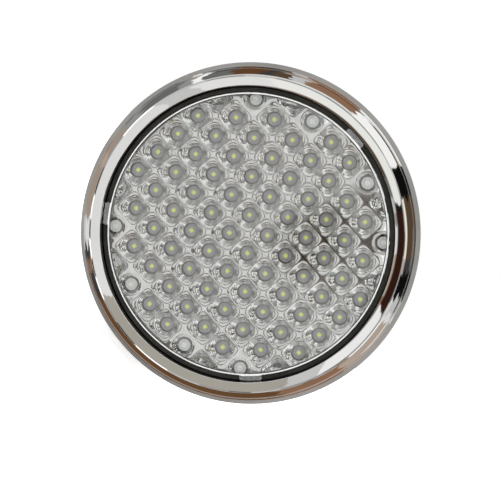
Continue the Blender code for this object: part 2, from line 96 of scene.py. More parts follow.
# %% [markdown]
# ## The camera
# The lamp is looked at from half a metre, a little from above and from the right, with the
# camera turned on its own axis, as one held by hand is. The turn matters here: the grid of
# LEDs runs along the lamp's own X and Y, so it shows slanted.

# %% Place the camera
CAMERA_PLACE = Vector((24.4, -498.0, 52.5)) * MM
CAMERA_AIM = Vector((5.3, 0.0, -3.9)) * MM
CAMERA_ROLL = math.radians(48.4)
CAMERA_LENS = 87.96

camera_data = bpy.data.cameras.new("camera")
camera_data.lens = CAMERA_LENS
camera_data.clip_start = 0.01
camera = bpy.data.objects.new("camera", camera_data)
bpy.context.scene.collection.objects.link(camera)
level = (CAMERA_AIM - CAMERA_PLACE).to_track_quat("-Z", "Y").to_matrix().to_4x4()
camera.matrix_world = Matrix.Translation(CAMERA_PLACE) @ level @ Matrix.Rotation(CAMERA_ROLL, 4, "Z")
bpy.context.scene.camera = camera
bpy.context.scene.view_settings.view_transform = "Standard"
print("camera at", [round(value, 3) for value in camera.location])

# %% [markdown]
# ## Helpers for shapes
# Nearly every part of a lamp is either turned on a lathe or cut by a die, so a few helpers do
# most of the work. `rounded` eases the corners of an outline, because a real edge is never
# perfectly sharp and it is the eased edge that catches the light.

# %% Outlines
def rounded(corners, closed=True, steps=4):
    """Points of an outline of (x, y) or (x, y, radius) corners, with an arc at each that has one."""
    points = []
    for number, corner in enumerate(corners):
        here = Vector(corner[:2])
        ends = not closed and number in (0, len(corners) - 1)
        if len(corner) < 3 or ends:
            points.append(tuple(here))
            continue
        back = Vector(corners[number - 1][:2]) - here
        ahead = Vector(corners[(number + 1) % len(corners)][:2]) - here
        half = back.angle(ahead) / 2
        length = min(corner[2] / math.tan(half), 0.48 * back.length, 0.48 * ahead.length)
        radius = length * math.tan(half)
        centre = here + (back.normalized() + ahead.normalized()).normalized() * radius / math.sin(half)
        first = here + back.normalized() * length - centre
        last = here + ahead.normalized() * length - centre
        swing = first.angle_signed(last)
        for step in range(steps + 1):
            turn = Matrix.Rotation(-swing * step / steps, 2)
            points.append(tuple(centre + turn @ first))
    return points


def arc(centre, radii, first, last, steps):
    """Points of an elliptical arc, in degrees."""
    angles = [math.radians(first + (last - first) * i / steps) for i in range(steps + 1)]
    return [(centre[0] + radii[0] * math.cos(a), centre[1] + radii[1] * math.sin(a)) for a in angles]


def polar(radius, degrees):
    angle = math.radians(degrees)
    return radius * math.cos(angle), radius * math.sin(angle)


def box_outline(width, height, corner, steps=5):
    """A rectangle with round corners, always with the same number of points."""
    w, h = width / 2, height / 2
    return rounded([(w, -h, corner), (w, h, corner), (-w, h, corner), (-w, -h, corner)], steps=steps)


print("a square with round corners has", len(box_outline(10, 10, 1)), "points")

# %% [markdown]
# `turned` spins an outline about the axis. `lofted` joins level outlines one above the other,
# for cups and plugs. Both build a closed mesh, merge what doubles up and turn the faces
# outwards. `combine` then cuts, joins or crosses two such bodies with a Boolean.

# %% Bodies on the bench
SQUARE = ((-1, -1), (1, -1), (1, 1), (-1, 1))


def placed(name, mesh):
    """A new object of the scene with this mesh."""
    obj = bpy.data.objects.new(name, mesh)
    bpy.context.scene.collection.objects.link(obj)
    return obj


def bench_object(name, bm, sharp):
    """Turns a bmesh into an object that still lies on the bench, in millimetres."""
    bmesh.ops.remove_doubles(bm, verts=bm.verts, dist=1e-4)
    bmesh.ops.recalc_face_normals(bm, faces=bm.faces)
    mesh = bpy.data.meshes.new(name)
    bm.to_mesh(mesh)
    bm.free()
    mesh.shade_smooth()
    mesh.set_sharp_from_angle(angle=math.radians(sharp))
    return placed(name, mesh)


def turned(name, outline, sides=192, sharp=30):
    """The closed body that an outline of (radius, level) sweeps round the axis."""
    bm = bmesh.new()
    solid = outline[0][0] == 0
    verts = [bm.verts.new((r, 0.0, z)) for r, z in outline]
    followers = verts[1:] if solid else verts[1:] + verts[:1]
    edges = [bm.edges.new(pair) for pair in zip(verts, followers)]
    bmesh.ops.spin(bm, geom=verts + edges, cent=(0, 0, 0), axis=(0, 0, 1), dvec=(0, 0, 0),
                   angle=2 * math.pi, steps=sides, use_merge=True)
    return bench_object(name, bm, sharp)


def lofted(name, *bodies, sharp=30):
    """Closed bodies, each through its own level rings of points, with a face over each end."""
    bm = bmesh.new()
    for rings in bodies:
        layers = [[bm.verts.new(point) for point in ring] for ring in rings]
        for low, high in zip(layers, layers[1:]):
            for corners in zip(low, low[1:] + low[:1], high[1:] + high[:1], high):
                bm.faces.new(corners)
        bm.faces.new(list(reversed(layers[0])))
        bm.faces.new(layers[-1])
    return bench_object(name, bm, sharp)


def slab(outline, low, high):
    """The rings of a prism on an outline, between two levels."""
    return [[(x, y, z) for x, y in outline] for z in (low, high)]


def rod(radius, low, high):
    """The outline of a plain cylinder."""
    return [(0, low), (radius, low), (radius, high), (0, high)]


def discard(obj):
    mesh = obj.data
    bpy.data.objects.remove(obj)
    bpy.data.meshes.remove(mesh)


def settle(obj, sharp=30):
    """Replaces an object's modifiers by the plain mesh that they make."""
    graph = bpy.context.evaluated_depsgraph_get()
    made = bpy.data.meshes.new_from_object(obj.evaluated_get(graph))
    old = obj.data
    obj.modifiers.clear()
    obj.data = made
    bpy.data.meshes.remove(old)
    made.name = obj.name
    made.shade_smooth()
    made.set_sharp_from_angle(angle=math.radians(sharp))
    return obj


def combine(obj, other, operation, sharp=30):
    """Cuts, joins or crosses a body with another, which is used up."""
    modifier = obj.modifiers.new("combine", "BOOLEAN")
    modifier.operation = operation
    modifier.solver = "MANIFOLD"
    modifier.object = other
    bpy.context.view_layer.update()
    settle(obj, sharp)
    discard(other)
    return obj


print("a plain cylinder is turned from", rod(2, 0, 5))

# %% [markdown]
# ## Putting a piece in its place
# A finished piece leaves the bench through one door. `install` stands it up, gives it its
# material, makes it ride with the lamp's one body and hides the plain parts that it stands
# for.

# %% Install a piece
def install(obj, material, slot, *nodes):
    obj.data.transform(STAND_UP)
    obj.data.materials.clear()
    obj.data.materials.append(material)
    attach(obj, BODY)
    if nodes:
        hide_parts(*nodes)
    faces = sum(len(face.vertices) - 2 for face in obj.data.polygons)
    print(f"{obj.name}: {faces} triangles, stands for {len(nodes)} parts")
    return obj


# %% [markdown]
# ## Geometry Nodes for what repeats
# Seventy-two cups, seventy-two LEDs, eight rivets and three sets of fixings are each one shape,
# made once and stamped many times. Copying in a Python loop would work, but a small node tree
# says the rule once, and its inputs can be changed by hand afterwards. The tree stands a copy
# of a piece on every point of a cloud. A point carries its own turn about the axis, and a
# wobble, drawn from a fixed seed, gives machine-placed parts their slight unevenness.

# %% The stamping tree
def add_node(tree, kind, wires=(), **settings):
    """Adds a node, sets its properties and fills or links its inputs, from {input: value or output}."""
    made = tree.nodes.new(kind)
    for name, value in settings.items():
        setattr(made, name, value)
    for key, value in dict(wires).items():
        if isinstance(value, bpy.types.NodeSocket):
            tree.links.new(value, made.inputs[key])
        else:
            made.inputs[key].default_value = value
    return made


def stamping_tree():
    tree = bpy.data.node_groups.new("stamp_on_points", "GeometryNodeTree")
    tree.is_modifier = True
    for name, kind in (("Places", "Geometry"), ("Piece", "Object"), ("Wobble", "Float"), ("Seed", "Int"),
                       ("Finish", "Material")):
        tree.interface.new_socket(name, in_out="INPUT", socket_type="NodeSocket" + kind)
    tree.interface.new_socket("Stamped", in_out="OUTPUT", socket_type="NodeSocketGeometry")
    inputs = add_node(tree, "NodeGroupInput")
    turn = add_node(tree, "GeometryNodeInputNamedAttribute", {"Name": "turn"}, data_type="FLOAT")
    negative = add_node(tree, "ShaderNodeMath", {0: inputs.outputs["Wobble"], 1: -1.0}, operation="MULTIPLY")
    wobble = add_node(tree, "FunctionNodeRandomValue",
                      {2: negative.outputs[0], 3: inputs.outputs["Wobble"], "Seed": inputs.outputs["Seed"]},
                      data_type="FLOAT")
    angle = add_node(tree, "ShaderNodeMath", {0: turn.outputs["Attribute"], 1: wobble.outputs[1]},
                     operation="ADD")
    euler = add_node(tree, "ShaderNodeCombineXYZ", {"Z": angle.outputs[0]})
    spin = add_node(tree, "FunctionNodeEulerToRotation", {0: euler.outputs[0]})
    piece = add_node(tree, "GeometryNodeObjectInfo", {"Object": inputs.outputs["Piece"]})
    stand = add_node(tree, "GeometryNodeInstanceOnPoints",
                     {"Points": inputs.outputs["Places"], "Instance": piece.outputs["Geometry"],
                      "Rotation": spin.outputs[0]})
    real = add_node(tree, "GeometryNodeRealizeInstances", {0: stand.outputs[0]})
    finish = add_node(tree, "GeometryNodeSetMaterial",
                      {"Geometry": real.outputs[0], "Material": inputs.outputs["Finish"]})
    outputs = add_node(tree, "NodeGroupOutput")
    tree.links.new(finish.outputs[0], outputs.inputs[0])
    return tree


STAMP = stamping_tree()
STAMP_INPUTS = {item.name: item.identifier for item in STAMP.interface.items_tree if item.in_out == "INPUT"}
HOLE_SIDES = 32


def stamped(name, piece, places, wobble=0.0, finish=None, sharp=30):
    """One mesh with a copy of the piece at each (x, y, turn in degrees) place. The piece is used up."""
    cloud = bpy.data.meshes.new(name)
    cloud.from_pydata([(x, y, 0.0) for x, y, turn in places], [], [])
    turns = cloud.attributes.new("turn", "FLOAT", "POINT")
    turns.data.foreach_set("value", [math.radians(turn) for x, y, turn in places])
    obj = placed(name, cloud)
    modifier = obj.modifiers.new("stamp", "NODES")
    modifier.node_group = STAMP
    for key, value in (("Piece", piece), ("Wobble", math.radians(wobble)), ("Seed", 7), ("Finish", finish)):
        modifier[STAMP_INPUTS[key]] = value
    bpy.context.view_layer.update()
    settle(obj, sharp)
    discard(piece)
    return obj


def round_places(radius, angles):
    """Places on a circle, each turned to face outwards."""
    return [(*polar(radius, angle), angle) for angle in angles]


def numbered(name, count):
    return [f"{name}_{number + 1}" for number in range(count)]
def drilled(body, name, radius, low, high, places, sides=HOLE_SIDES):
    """The body with a round hole at each place."""
    drills = stamped(name + "s", turned(name, rod(radius, low, high), sides), places)
    return combine(body, drills, "DIFFERENCE")
print("stamping inputs:", ", ".join(STAMP_INPUTS))

# %% [markdown]
# ## Helpers for finishes
# A finish is a Principled shader with some detail in its colour, roughness and relief. The
# patterns read Object coordinates, which are metres on the lamp itself, so a scale of 1000
# gives a pattern of about a millimetre on every part. What is the same all over a part goes
# straight on the shader's sockets.

# %% Finish helpers
def blank_finish(name, **sockets):
    material = bpy.data.materials.new(name)
    material.use_nodes = True
    shader = material.node_tree.nodes["Principled BSDF"]
    for key, value in sockets.items():
        shader.inputs[key.replace("_", " ")].default_value = value
    return material, material.node_tree, shader


def object_place(tree):
    return add_node(tree, "ShaderNodeTexCoord").outputs["Object"]


def calc(tree, operation, first, second=0.0):
    return add_node(tree, "ShaderNodeMath", {0: first, 1: second}, operation=operation).outputs[0]


def mottle(tree, scale, low, high, detail=3.0):
    """A soft random value between low and high, with patches 1/scale metres wide."""
    wires = {"Vector": object_place(tree), "Scale": scale, "Detail": detail}
    noise = add_node(tree, "ShaderNodeTexNoise", wires).outputs[0]
    wires = {"Value": noise, "From Min": 0.3, "From Max": 0.7, "To Min": low, "To Max": high}
    return add_node(tree, "ShaderNodeMapRange", wires).outputs[0]


def mixed(tree, factor, first, second):
    """A colour between two, by a value from 0 to 1."""
    mix = add_node(tree, "ShaderNodeMix", {"Factor": factor, 6: first, 7: second}, data_type="RGBA")
    return mix.outputs[2]


def tint(tree, value, dark, light):
    return mixed(tree, value, (*dark, 1), (*light, 1))


def dress(tree, shader, color, rough, height=None, depth=0.0):
    """Gives a shader its colour, its roughness and, if any, a relief that is depth metres deep."""
    tree.links.new(color, shader.inputs["Base Color"])
    tree.links.new(rough, shader.inputs["Roughness"])
    if height is not None:
        bump = add_node(tree, "ShaderNodeBump", {"Height": height, "Distance": depth, "Strength": 1.0})
        tree.links.new(bump.outputs[0], shader.inputs["Normal"])


print("finish helpers: an empty Principled material, mottle, mixed and tint, and dress")

# %% [markdown]
# Some parts change their finish from place to place. A mask is a value worked out from the
# point's own place on the lamp: 1 where the second finish starts and 0 before it.

# %% Masks
def ring_mask(tree, low, high):
    """1 between two distances from the lamp's axis, in millimetres, and 0 elsewhere."""
    axes = add_node(tree, "ShaderNodeSeparateXYZ", {0: object_place(tree)}).outputs
    square = calc(tree, "ADD", calc(tree, "MULTIPLY", axes["X"], axes["X"]),
                  calc(tree, "MULTIPLY", axes["Z"], axes["Z"]))
    distance = calc(tree, "SQRT", square)
    outside = calc(tree, "GREATER_THAN", distance, low * MM)
    return calc(tree, "MULTIPLY", outside, calc(tree, "LESS_THAN", distance, high * MM))


def below_level(tree, level):
    """1 on what lies deeper in the lamp than a bench level, and 0 on what lies in front of it."""
    axes = add_node(tree, "ShaderNodeSeparateXYZ", {0: object_place(tree)}).outputs
    return calc(tree, "GREATER_THAN", axes["Y"], -level * MM)


def apart_from(tree, mask):
    return calc(tree, "SUBTRACT", 1.0, mask)


print(f"masks reach from 0 to {RING_R} mm from the axis, and {CREST_TOP} mm down from the crest")

# %% [markdown]
# ## Chrome plate
# Plated plastic is smooth but not perfect: the moulding under the plate is very slightly wavy,
# and wiping leaves fine hairlines. A faint mottle in the roughness gives the reflections life
# without making the ring look brushed. The outer lip is rough, only partly metal and coloured a
# flat grey, a painted reflection, so it shows an even grey all the way round while the rest of
# the ring mirrors the room.

# %% Chrome
LIP_WIDTH = 2.0
LIP_SATIN = 0.36
LIP_METAL = 0.25


def chrome_finish():
    material, tree, shader = blank_finish("chrome_plate", Metallic=1.0)
    film = mottle(tree, 60, 0.0, 1.0, detail=6)
    bright = tint(tree, film, (0.89, 0.885, 0.87), (0.94, 0.935, 0.925))
    # painted reflection: a flat grey on the outer lip stands in for what the chrome there would mirror
    painted_lip_grey = tint(tree, film, (0.225, 0.22, 0.21), (0.28, 0.275, 0.265))
    lip = ring_mask(tree, RING_R - LIP_WIDTH, RING_R + 1.0)
    metal = apart_from(tree, calc(tree, "MULTIPLY", lip, 1 - LIP_METAL))
    tree.links.new(metal, shader.inputs["Metallic"])
    satin = calc(tree, "MULTIPLY", lip, LIP_SATIN)
    rough = calc(tree, "ADD", satin, mottle(tree, 140, 0.02, 0.05, detail=5))
    waves = mottle(tree, 55, 0.0, 1.0, detail=1)
    dress(tree, shader, mixed(tree, lip, bright, painted_lip_grey), rough, waves, 0.00003)
    return material


CHROME = chrome_finish()
print("finish:", CHROME.name)

# %% [markdown]
# ## Clear polycarbonate
# The lens is solid clear plastic, so it is given real transmission and the refraction of
# polycarbonate. Its faces are very slightly uneven from the mould, which bends the little
# highlights of the cups behind it. A thin band at its turned-down edge is made rough and nearly
# opaque, a painted highlight that shows as a thin white line just inside the rubber ring, and
# its lugs are slightly milky.

# %% Clear plastic
LENS_R = SEAL_R - 2.1
PAINTED_RIM_WIDTH = 0.6
PAINTED_RIM_ROUGH = 0.3


def clear_finish():
    material, tree, shader = blank_finish("clear_lens", Transmission_Weight=1.0, IOR=1.58)
    color = tint(tree, mottle(tree, 90, 0.0, 1.0), (0.95, 0.965, 0.96), (0.99, 0.99, 0.985))
    # painted highlight: a band at the lens's edge is made nearly opaque, so its white colour shows as a
    # bright rim line
    edge = ring_mask(tree, LENS_R - PAINTED_RIM_WIDTH, LENS_R + 0.1)
    lugs = ring_mask(tree, LENS_R + 0.1, SEAL_R + 1.0)
    milky_lugs_and_painted_rim = calc(tree, "ADD", calc(tree, "MULTIPLY", edge, mottle(tree, 900, 0.8, 1.0)),
                 calc(tree, "MULTIPLY", lugs, mottle(tree, 700, 0.08, 0.2)))
    tree.links.new(apart_from(tree, milky_lugs_and_painted_rim), shader.inputs["Transmission Weight"])
    rough = calc(tree, "ADD", calc(tree, "MULTIPLY", edge, PAINTED_RIM_ROUGH), mottle(tree, 200, 0.0, 0.002))
    dress(tree, shader, color, rough, mottle(tree, 120, 0.0, 1.0, detail=1), 0.000004)
    return material


CLEAR = clear_finish()
print("finish:", CLEAR.name)

# %% [markdown]
# ## Vacuum-metallised plastic
# The reflector is moulded plastic under a film of aluminium a few hundred atoms thick. It
# mirrors well but shows the moulding's orange peel in the cups, so it gets a fine relief there,
# and its roughness wanders. Everything deeper than the floor of the rivet pockets, such as the
# grooves round the rivets, is coloured dark: painted shade.

# %% Metallised plastic
POCKET_FLOOR = 0.6


def metallised_finish():
    material, tree, shader = blank_finish("metallised_optic", Metallic=1.0)
    film = mottle(tree, 500, 0.0, 1.0, detail=4)
    bright = tint(tree, film, (0.71, 0.705, 0.69), (0.79, 0.785, 0.765))
    # painted shade: the mirror is made dark below the floor of the rivet pockets
    painted_deep_shade = tint(tree, film, (0.12, 0.12, 0.115), (0.2, 0.2, 0.19))
    color = mixed(tree, below_level(tree, POCKET_FLOOR - 0.05), bright, painted_deep_shade)
    on_wall = apart_from(tree, below_level(tree, POCKET_FLOOR + 0.1))
    in_cup = calc(tree, "MULTIPLY", below_level(tree, PLATE_TOP - 0.05), on_wall)
    rough = calc(tree, "ADD", calc(tree, "MULTIPLY", mottle(tree, 700, 0.0, 0.02), in_cup), 0.01)
    peel = calc(tree, "MULTIPLY", mottle(tree, 900, 0.0, 1.0, detail=1), in_cup)
    dress(tree, shader, color, rough, peel, 0.000012)
    return material


METALLISED = metallised_finish()
print("finish:", METALLISED.name)

# %% [markdown]
# ## Rubber, foam and moulded black plastic
# Black parts differ in their surface more than in their colour. Rubber has a dull bloom,
# foam is full of open pores, and the tub has the fine spark-eroded grain of its mould. Each
# is a dark mottle with its own scale of relief.

# %% Black finishes
def black_finish(name, dark, light, rough, grain, depth, pores=False):
    material, tree, shader = blank_finish(name)
    color = tint(tree, mottle(tree, 120, 0.0, 1.0, detail=5), dark, light)
    pattern = {"Vector": object_place(tree), "Scale": grain}
    if pores:
        height = add_node(tree, "ShaderNodeTexVoronoi", pattern).outputs["Distance"]
    else:
        height = add_node(tree, "ShaderNodeTexNoise", {**pattern, "Detail": 4.0}).outputs[0]
    dress(tree, shader, color, mottle(tree, 400, *rough), height, depth)
    return material


RUBBER = black_finish("seal_rubber", (0.018, 0.018, 0.014), (0.032, 0.031, 0.025), (0.5, 0.7), 2500, 0.00004)
FOAM = black_finish("gasket_foam", (0.015, 0.015, 0.016), (0.06, 0.06, 0.06), (0.9, 1.0), 1800, 0.0004, True)
TUB = black_finish("black_abs", (0.018, 0.018, 0.019), (0.025, 0.025, 0.026), (0.42, 0.58), 3200, 0.00007)
CHIP = black_finish("chip_black", (0.012, 0.012, 0.013), (0.03, 0.03, 0.03), (0.35, 0.5), 6000, 0.00002)
print("finishes:", RUBBER.name, FOAM.name, TUB.name, CHIP.name)

# %% [markdown]
# ## The metals of the fixings, and the small coloured plastics
# Zinc plate is a pale bluish grey with cloudy patches. Tinned brass is warmer. The board's
# solder mask, the nylon rivets, the sleeves and the leads are all plain coloured plastics
# with a light mottle, so one function makes them all. Nylon, phosphor and the LEDs' windows let
# some light through and scatter it, and a weak glow is painted on them, though none is lit, so
# they look lighter than their colour alone makes them.

# %% Metals and coloured plastics
def metal_finish(name, dark, light, rough, depth):
    material, tree, shader = blank_finish(name, Metallic=1.0)
    color = tint(tree, mottle(tree, 350, 0.0, 1.0, detail=6), dark, light)
    dress(tree, shader, color, mottle(tree, 600, *rough, detail=5), mottle(tree, 2600, 0.0, 1.0), depth)
    return material


def plastic_finish(name, dark, light, rough=(0.35, 0.5), grain=1500, depth=0.00003):
    material, tree, shader = blank_finish(name)
    color = tint(tree, mottle(tree, 300, 0.0, 1.0), dark, light)
    dress(tree, shader, color, mottle(tree, 700, *rough), mottle(tree, grain, 0.0, 1.0), depth)
    return material


ZINC = metal_finish("zinc_steel", (0.52, 0.54, 0.56), (0.74, 0.75, 0.76), (0.2, 0.38), 0.00002)
TINNED = metal_finish("tinned_brass", (0.70, 0.64, 0.48), (0.86, 0.82, 0.70), (0.14, 0.3), 0.00001)
BOARD = plastic_finish("board_white", (0.62, 0.63, 0.60), (0.78, 0.79, 0.77))
NYLON = plastic_finish("rivet_nylon", (0.80, 0.80, 0.785), (0.92, 0.92, 0.91))
SLEEVE = plastic_finish("capacitor_sleeve", (0.02, 0.025, 0.06), (0.04, 0.05, 0.10), (0.25, 0.4))
LEAD = plastic_finish("lead_insulation", (0.33, 0.02, 0.02), (0.50, 0.04, 0.035))
PACK = plastic_finish("led_pack", (0.84, 0.83, 0.84), (0.94, 0.93, 0.94), (0.35, 0.55), 3000, 0.00003)
PHOSPHOR = plastic_finish("led_phosphor", (0.88, 0.95, 0.14), (0.99, 1.0, 0.36), (0.3, 0.45), 5000, 0.00004)
# painted light: a weak glow on the phosphor, the LED windows and the nylon rivets, none of which is lit
for made, glow, strength in ((PHOSPHOR, (0.82, 0.92, 0.26, 1), 0.42), (PACK, (1.0, 0.97, 1.0, 1), 0.05),
                             (NYLON, (0.96, 1.0, 0.96, 1), 0.27)):
    sockets = made.node_tree.nodes["Principled BSDF"].inputs
    sockets["Emission Color"].default_value = glow
    sockets["Emission Strength"].default_value = strength
print("finishes:", ", ".join(made.name for made in (ZINC, TINNED, BOARD, NYLON, SLEEVE, LEAD, PACK)))

# %% [markdown]
# ## The chrome ring
# The ring is a thin plated moulding that clips over the tub's flange. Seen from outside in it
# has a sloping lip that touches the panel, a high rounded wall, a wide crest band that leans in
# towards the lens, and a straight wall down to the flange. It could be made from a Screw
# modifier on a curve, but its section is a few lines and one elliptical arc, so the outline is
# written out and spun, with each edge eased as plating needs.

# %% Turn the chrome ring
LIP_TOP = 1.5
SHOULDER = 4.25
SHOULDER_R = RING_R - 2.5
CREST_R = RING_R - 6.3
CREST_BREAK = math.radians(48)
INNER_EDGE = CREST_TOP - 1.5
INNER_R = RING_R - 10.3
RING_WALL = 1.3
RING_FOOT = FLANGE_TOP + 0.3


def chrome_ring():
    corners = [(RING_R - 0.2, RING_BACK, 0.2), (RING_R, LIP_TOP, 0.5), (SHOULDER_R + 0.1, SHOULDER, 0.35)]
    wide = (SHOULDER_R - 0.15 - CREST_R) / (1 - math.cos(CREST_BREAK))
    high = (CREST_TOP - SHOULDER) / math.sin(CREST_BREAK)
    corners += arc((SHOULDER_R - 0.15 - wide, SHOULDER), (wide, high), 3, math.degrees(CREST_BREAK) - 1, 22)
    corners += [(CREST_R, CREST_TOP, 0.12), (INNER_R, INNER_EDGE, 0.25), (INNER_R, RING_FOOT, 0.2)]
    inner_wall = INNER_R + RING_WALL
    corners += [(inner_wall, RING_FOOT, 0.2), (inner_wall, INNER_EDGE - RING_WALL - 0.2, 0.5)]
    hollow_radii = (SHOULDER_R - CREST_R - RING_WALL - 0.2, CREST_TOP - RING_WALL - SHOULDER)
    corners += arc((CREST_R, SHOULDER), hollow_radii, 90, 4, 10)
    skirt_r = FLANGE_R + 0.45
    bead_r = FLANGE_R - 0.4
    corners += [(skirt_r, 2.4, 0.2), (skirt_r, 1.4), (bead_r, GASKET_TOP, 0.15), (bead_r + 0.3, RING_BACK)]
    return turned("chrome_bezel", rounded(corners), sides=256, sharp=50)


install(chrome_ring(), CHROME, "chrome_plate", "chrome_bezel")

# %% [markdown]
# ## The lens
# The lens is a slightly domed disc with a short skirt round its back and three lugs that cross
# the rubber ring at uneven steps, so that it goes in one way only. Its front and back faces are
# parallel, so it is thick glass and not a magnifier. The lugs are slabs joined on by a Boolean.

# %% Mould the lens
LENS_RISE = 0.9
LENS_EDGE = LENS_DOME - LENS_RISE
LENS_THICK = 2.0
LENS_FOOT = PLATE_TOP + 0.3
SKIRT = 0.9
LUG_ANGLES = (90.0, -40.0, 220.0)
LUG_WIDTH = 9.3


def dome_level(radius):
    return LENS_EDGE + LENS_RISE * (1 - (radius / LENS_R) ** 2)


def clear_lens():
    fractions = [i / 12 for i in range(12)]
    front = [(LENS_R * f, dome_level(LENS_R * f)) for f in fractions]
    inner_r = LENS_R - SKIRT
    rim = [front[-1], (LENS_R, LENS_EDGE, 0.5), (LENS_R, LENS_FOOT, 0.2), (inner_r, LENS_FOOT, 0.2),
           (inner_r, LENS_EDGE - LENS_THICK, 0.4), (inner_r * 0.95, dome_level(inner_r * 0.95) - LENS_THICK)]
    back = [(inner_r * f, dome_level(inner_r * f) - LENS_THICK) for f in reversed(fractions)]
    disc = turned("lens", front[:-1] + rounded(rim, closed=False) + back, sides=192, sharp=40)
    swing = math.degrees(LUG_WIDTH / 2 / SEAL_R)
    lugs = []
    for angle in LUG_ANGLES:
        outside = [(*polar(SEAL_R, angle + swing * side), 0.8) for side in (-1, 1)]
        inside = [polar(LENS_R - 1.5, angle + swing * side) for side in (1, -1)]
        outline = rounded([outside[0], polar(SEAL_R, angle), outside[1], *inside])
        lugs.append(slab(outline, LENS_EDGE - 1.2, LENS_EDGE - 0.15))
    return combine(disc, lofted("lugs", *lugs), "UNION", sharp=40)


install(clear_lens(), CLEAR, "clear_lens", "lens")

# %% [markdown]
# ## The rubber ring
# A black ring of an L section fills the space between the lens and the chrome and keeps water
# out. It is another turned outline, with a small bead along its front edge.

# %% Turn the rubber ring
SEAL_INNER_R = LENS_R + 0.3
TUB_INNER_R = PLATE_R + 0.3


def rubber_ring():
    middle = (SEAL_INNER_R + SEAL_R) / 2
    corners = [(SEAL_INNER_R, PLATE_TOP + 0.3, 0.1), (SEAL_INNER_R, SEAL_FRONT - 0.35, 0.3),
               (middle - 0.35, SEAL_FRONT - 0.3, 0.2), (middle, SEAL_FRONT, 0.3),
               (middle + 0.35, SEAL_FRONT - 0.3, 0.2), (SEAL_R, SEAL_FRONT - 0.35, 0.3),
               (SEAL_R, SEAL_BACK, 0.1), (TUB_INNER_R + 0.3, SEAL_BACK, 0.1),
               (TUB_INNER_R + 0.3, PLATE_TOP + 0.3, 0.1)]
    return turned("seal_ring", rounded(corners), sides=192)


install(rubber_ring(), RUBBER, "seal_rubber", "seal_ring")

# %% [markdown]
# ## The grid of cells
# The cells stand on a square grid whose middle lies on the lamp's axis, half a pitch off on
# each side. A cell is kept where its middle lies within 5.2 pitches. Eight of them hold the
# rivets, the eight at the very edge are cut short by the rim, and the rest hold an LED each.

# %% Lay out the cells
PITCH = 11.13
GRID_REACH = 5.2
RIVET_CELLS = {(1.5, 4.5), (3.5, 3.5)}
SHORT_CELLS = {(2.5, 4.5), (4.5, 2.5)}


def grid_cells():
    steps = [i + 0.5 for i in range(-5, 5)]
    return [(x, y) for x in steps for y in steps if math.hypot(x, y) < GRID_REACH]


def cells_of(kind):
    """Places of the lit, rivet or short cells, in millimetres."""
    chosen = []
    for x, y in grid_cells():
        corner = (abs(x), abs(y))
        found = "rivet" if corner in RIVET_CELLS else "short" if corner in SHORT_CELLS else "lit"
        if found == kind:
            chosen.append((x * PITCH, y * PITCH, 0.0))
    return chosen


LIT, RIVETED, SHORT = (cells_of(kind) for kind in ("lit", "rivet", "short"))
print(f"{len(LIT)} lit cells, {len(RIVETED)} rivet cells, {len(SHORT)} short cells")

# %% [markdown]
# ## The reflector
# Each cup starts as a square with round corners, so that neighbours meet in a thin ridge and
# leave a small star-shaped flat between every four. It narrows in four steps, each a steep
# riser and a nearly level tread, to a round hole for the LED. The treads are what flashes: each
# mirrors a thin band of the room. Modelling the thin ridges face by face would be slow, so one
# cup is lofted as a solid plug instead.

# %% Shape one cup as a plug
CUP_POINTS = 40
MOUTH_HALF = 0.4965 * PITCH
MOUTH_CORNER = 0.165 * PITCH
MOUTH_SQUASH = 0.025
EDGE_EASE = 0.08
FOOT_R = 2.85
# Levels below the plate's face, half widths and squareness of the wall's treads and risers
WALL_STEPS = [(0.55, 5.36, 0.85), (0.605, 5.00, 0.45), (1.45, 4.84, 0.25), (1.51, 4.46, 0.1),
              (2.5, 4.26, 0.0), (2.565, 3.88, 0.0), (3.4, 3.70, 0.0), (3.47, 3.28, 0.0)]
BLIND_DEPTH = 3.6
RIM_R = PLATE_R - 1.6


def square_reach(angle, half, corner):
    """Distance from the middle of a square with round corners to its side, in one direction."""
    x, y = abs(math.cos(angle)), abs(math.sin(angle))
    straight = half / max(x, y)
    inner = half - corner
    if straight * min(x, y) <= inner:
        return straight
    middle = inner * (x + y)
    return middle + math.sqrt(middle * middle - 2 * inner * inner + corner * corner)


def cup_ring(level, half, squareness):
    """One level outline of the cup, from a round one at 0 to the square with round corners at 1."""
    ring = []
    for i in range(CUP_POINTS):
        angle = 2 * math.pi * (i + 0.5) / CUP_POINTS
        square = square_reach(angle, half, min(MOUTH_CORNER, half))
        radius = half + (square - half) * squareness
        squash = 1 - MOUTH_SQUASH * squareness
        ring.append((radius * math.cos(angle), radius * math.sin(angle) * squash, level))
    return ring


def cup_plug(blind=False):
    rings = [cup_ring(PLATE_TOP + 0.5, MOUTH_HALF, 1.0), cup_ring(PLATE_TOP, MOUTH_HALF, 1.0),
             cup_ring(PLATE_TOP - EDGE_EASE, MOUTH_HALF - EDGE_EASE, 1.0)]
    rings += [cup_ring(PLATE_TOP - drop, half, squareness) for drop, half, squareness in WALL_STEPS]
    if blind:
        rings.append(cup_ring(PLATE_TOP - BLIND_DEPTH, FOOT_R, 0.0))
    else:
        rings.append(cup_ring(PLATE_TOP - BLIND_DEPTH - 0.5, FOOT_R + 0.25, 0.0))
        rings.append(cup_ring(PLATE_FOOT + 0.2, FOOT_R, 0.0))
        rings.append(cup_ring(PLATE_FOOT - 0.5, FOOT_R, 0.0))
    return lofted("cup_plug", rings)


print(f"a cup has {len(WALL_STEPS)} levels of {CUP_POINTS} points")

# %% [markdown]
# The plugs are stamped on the grid and cut out of a plain disc, as a moulder's tool is the
# reverse of the part. A shorter disc limits the plugs first, so that a solid rim is left. The
# rivets get round pockets with a groove, and the short cells are cut blind.

# %% Cut the reflector
POCKET_R = 3.3
RIVET_SHANK = 1.2
RIVET_BORE = RIVET_SHANK + 0.3
RIVET_HEAD_R = 2.5


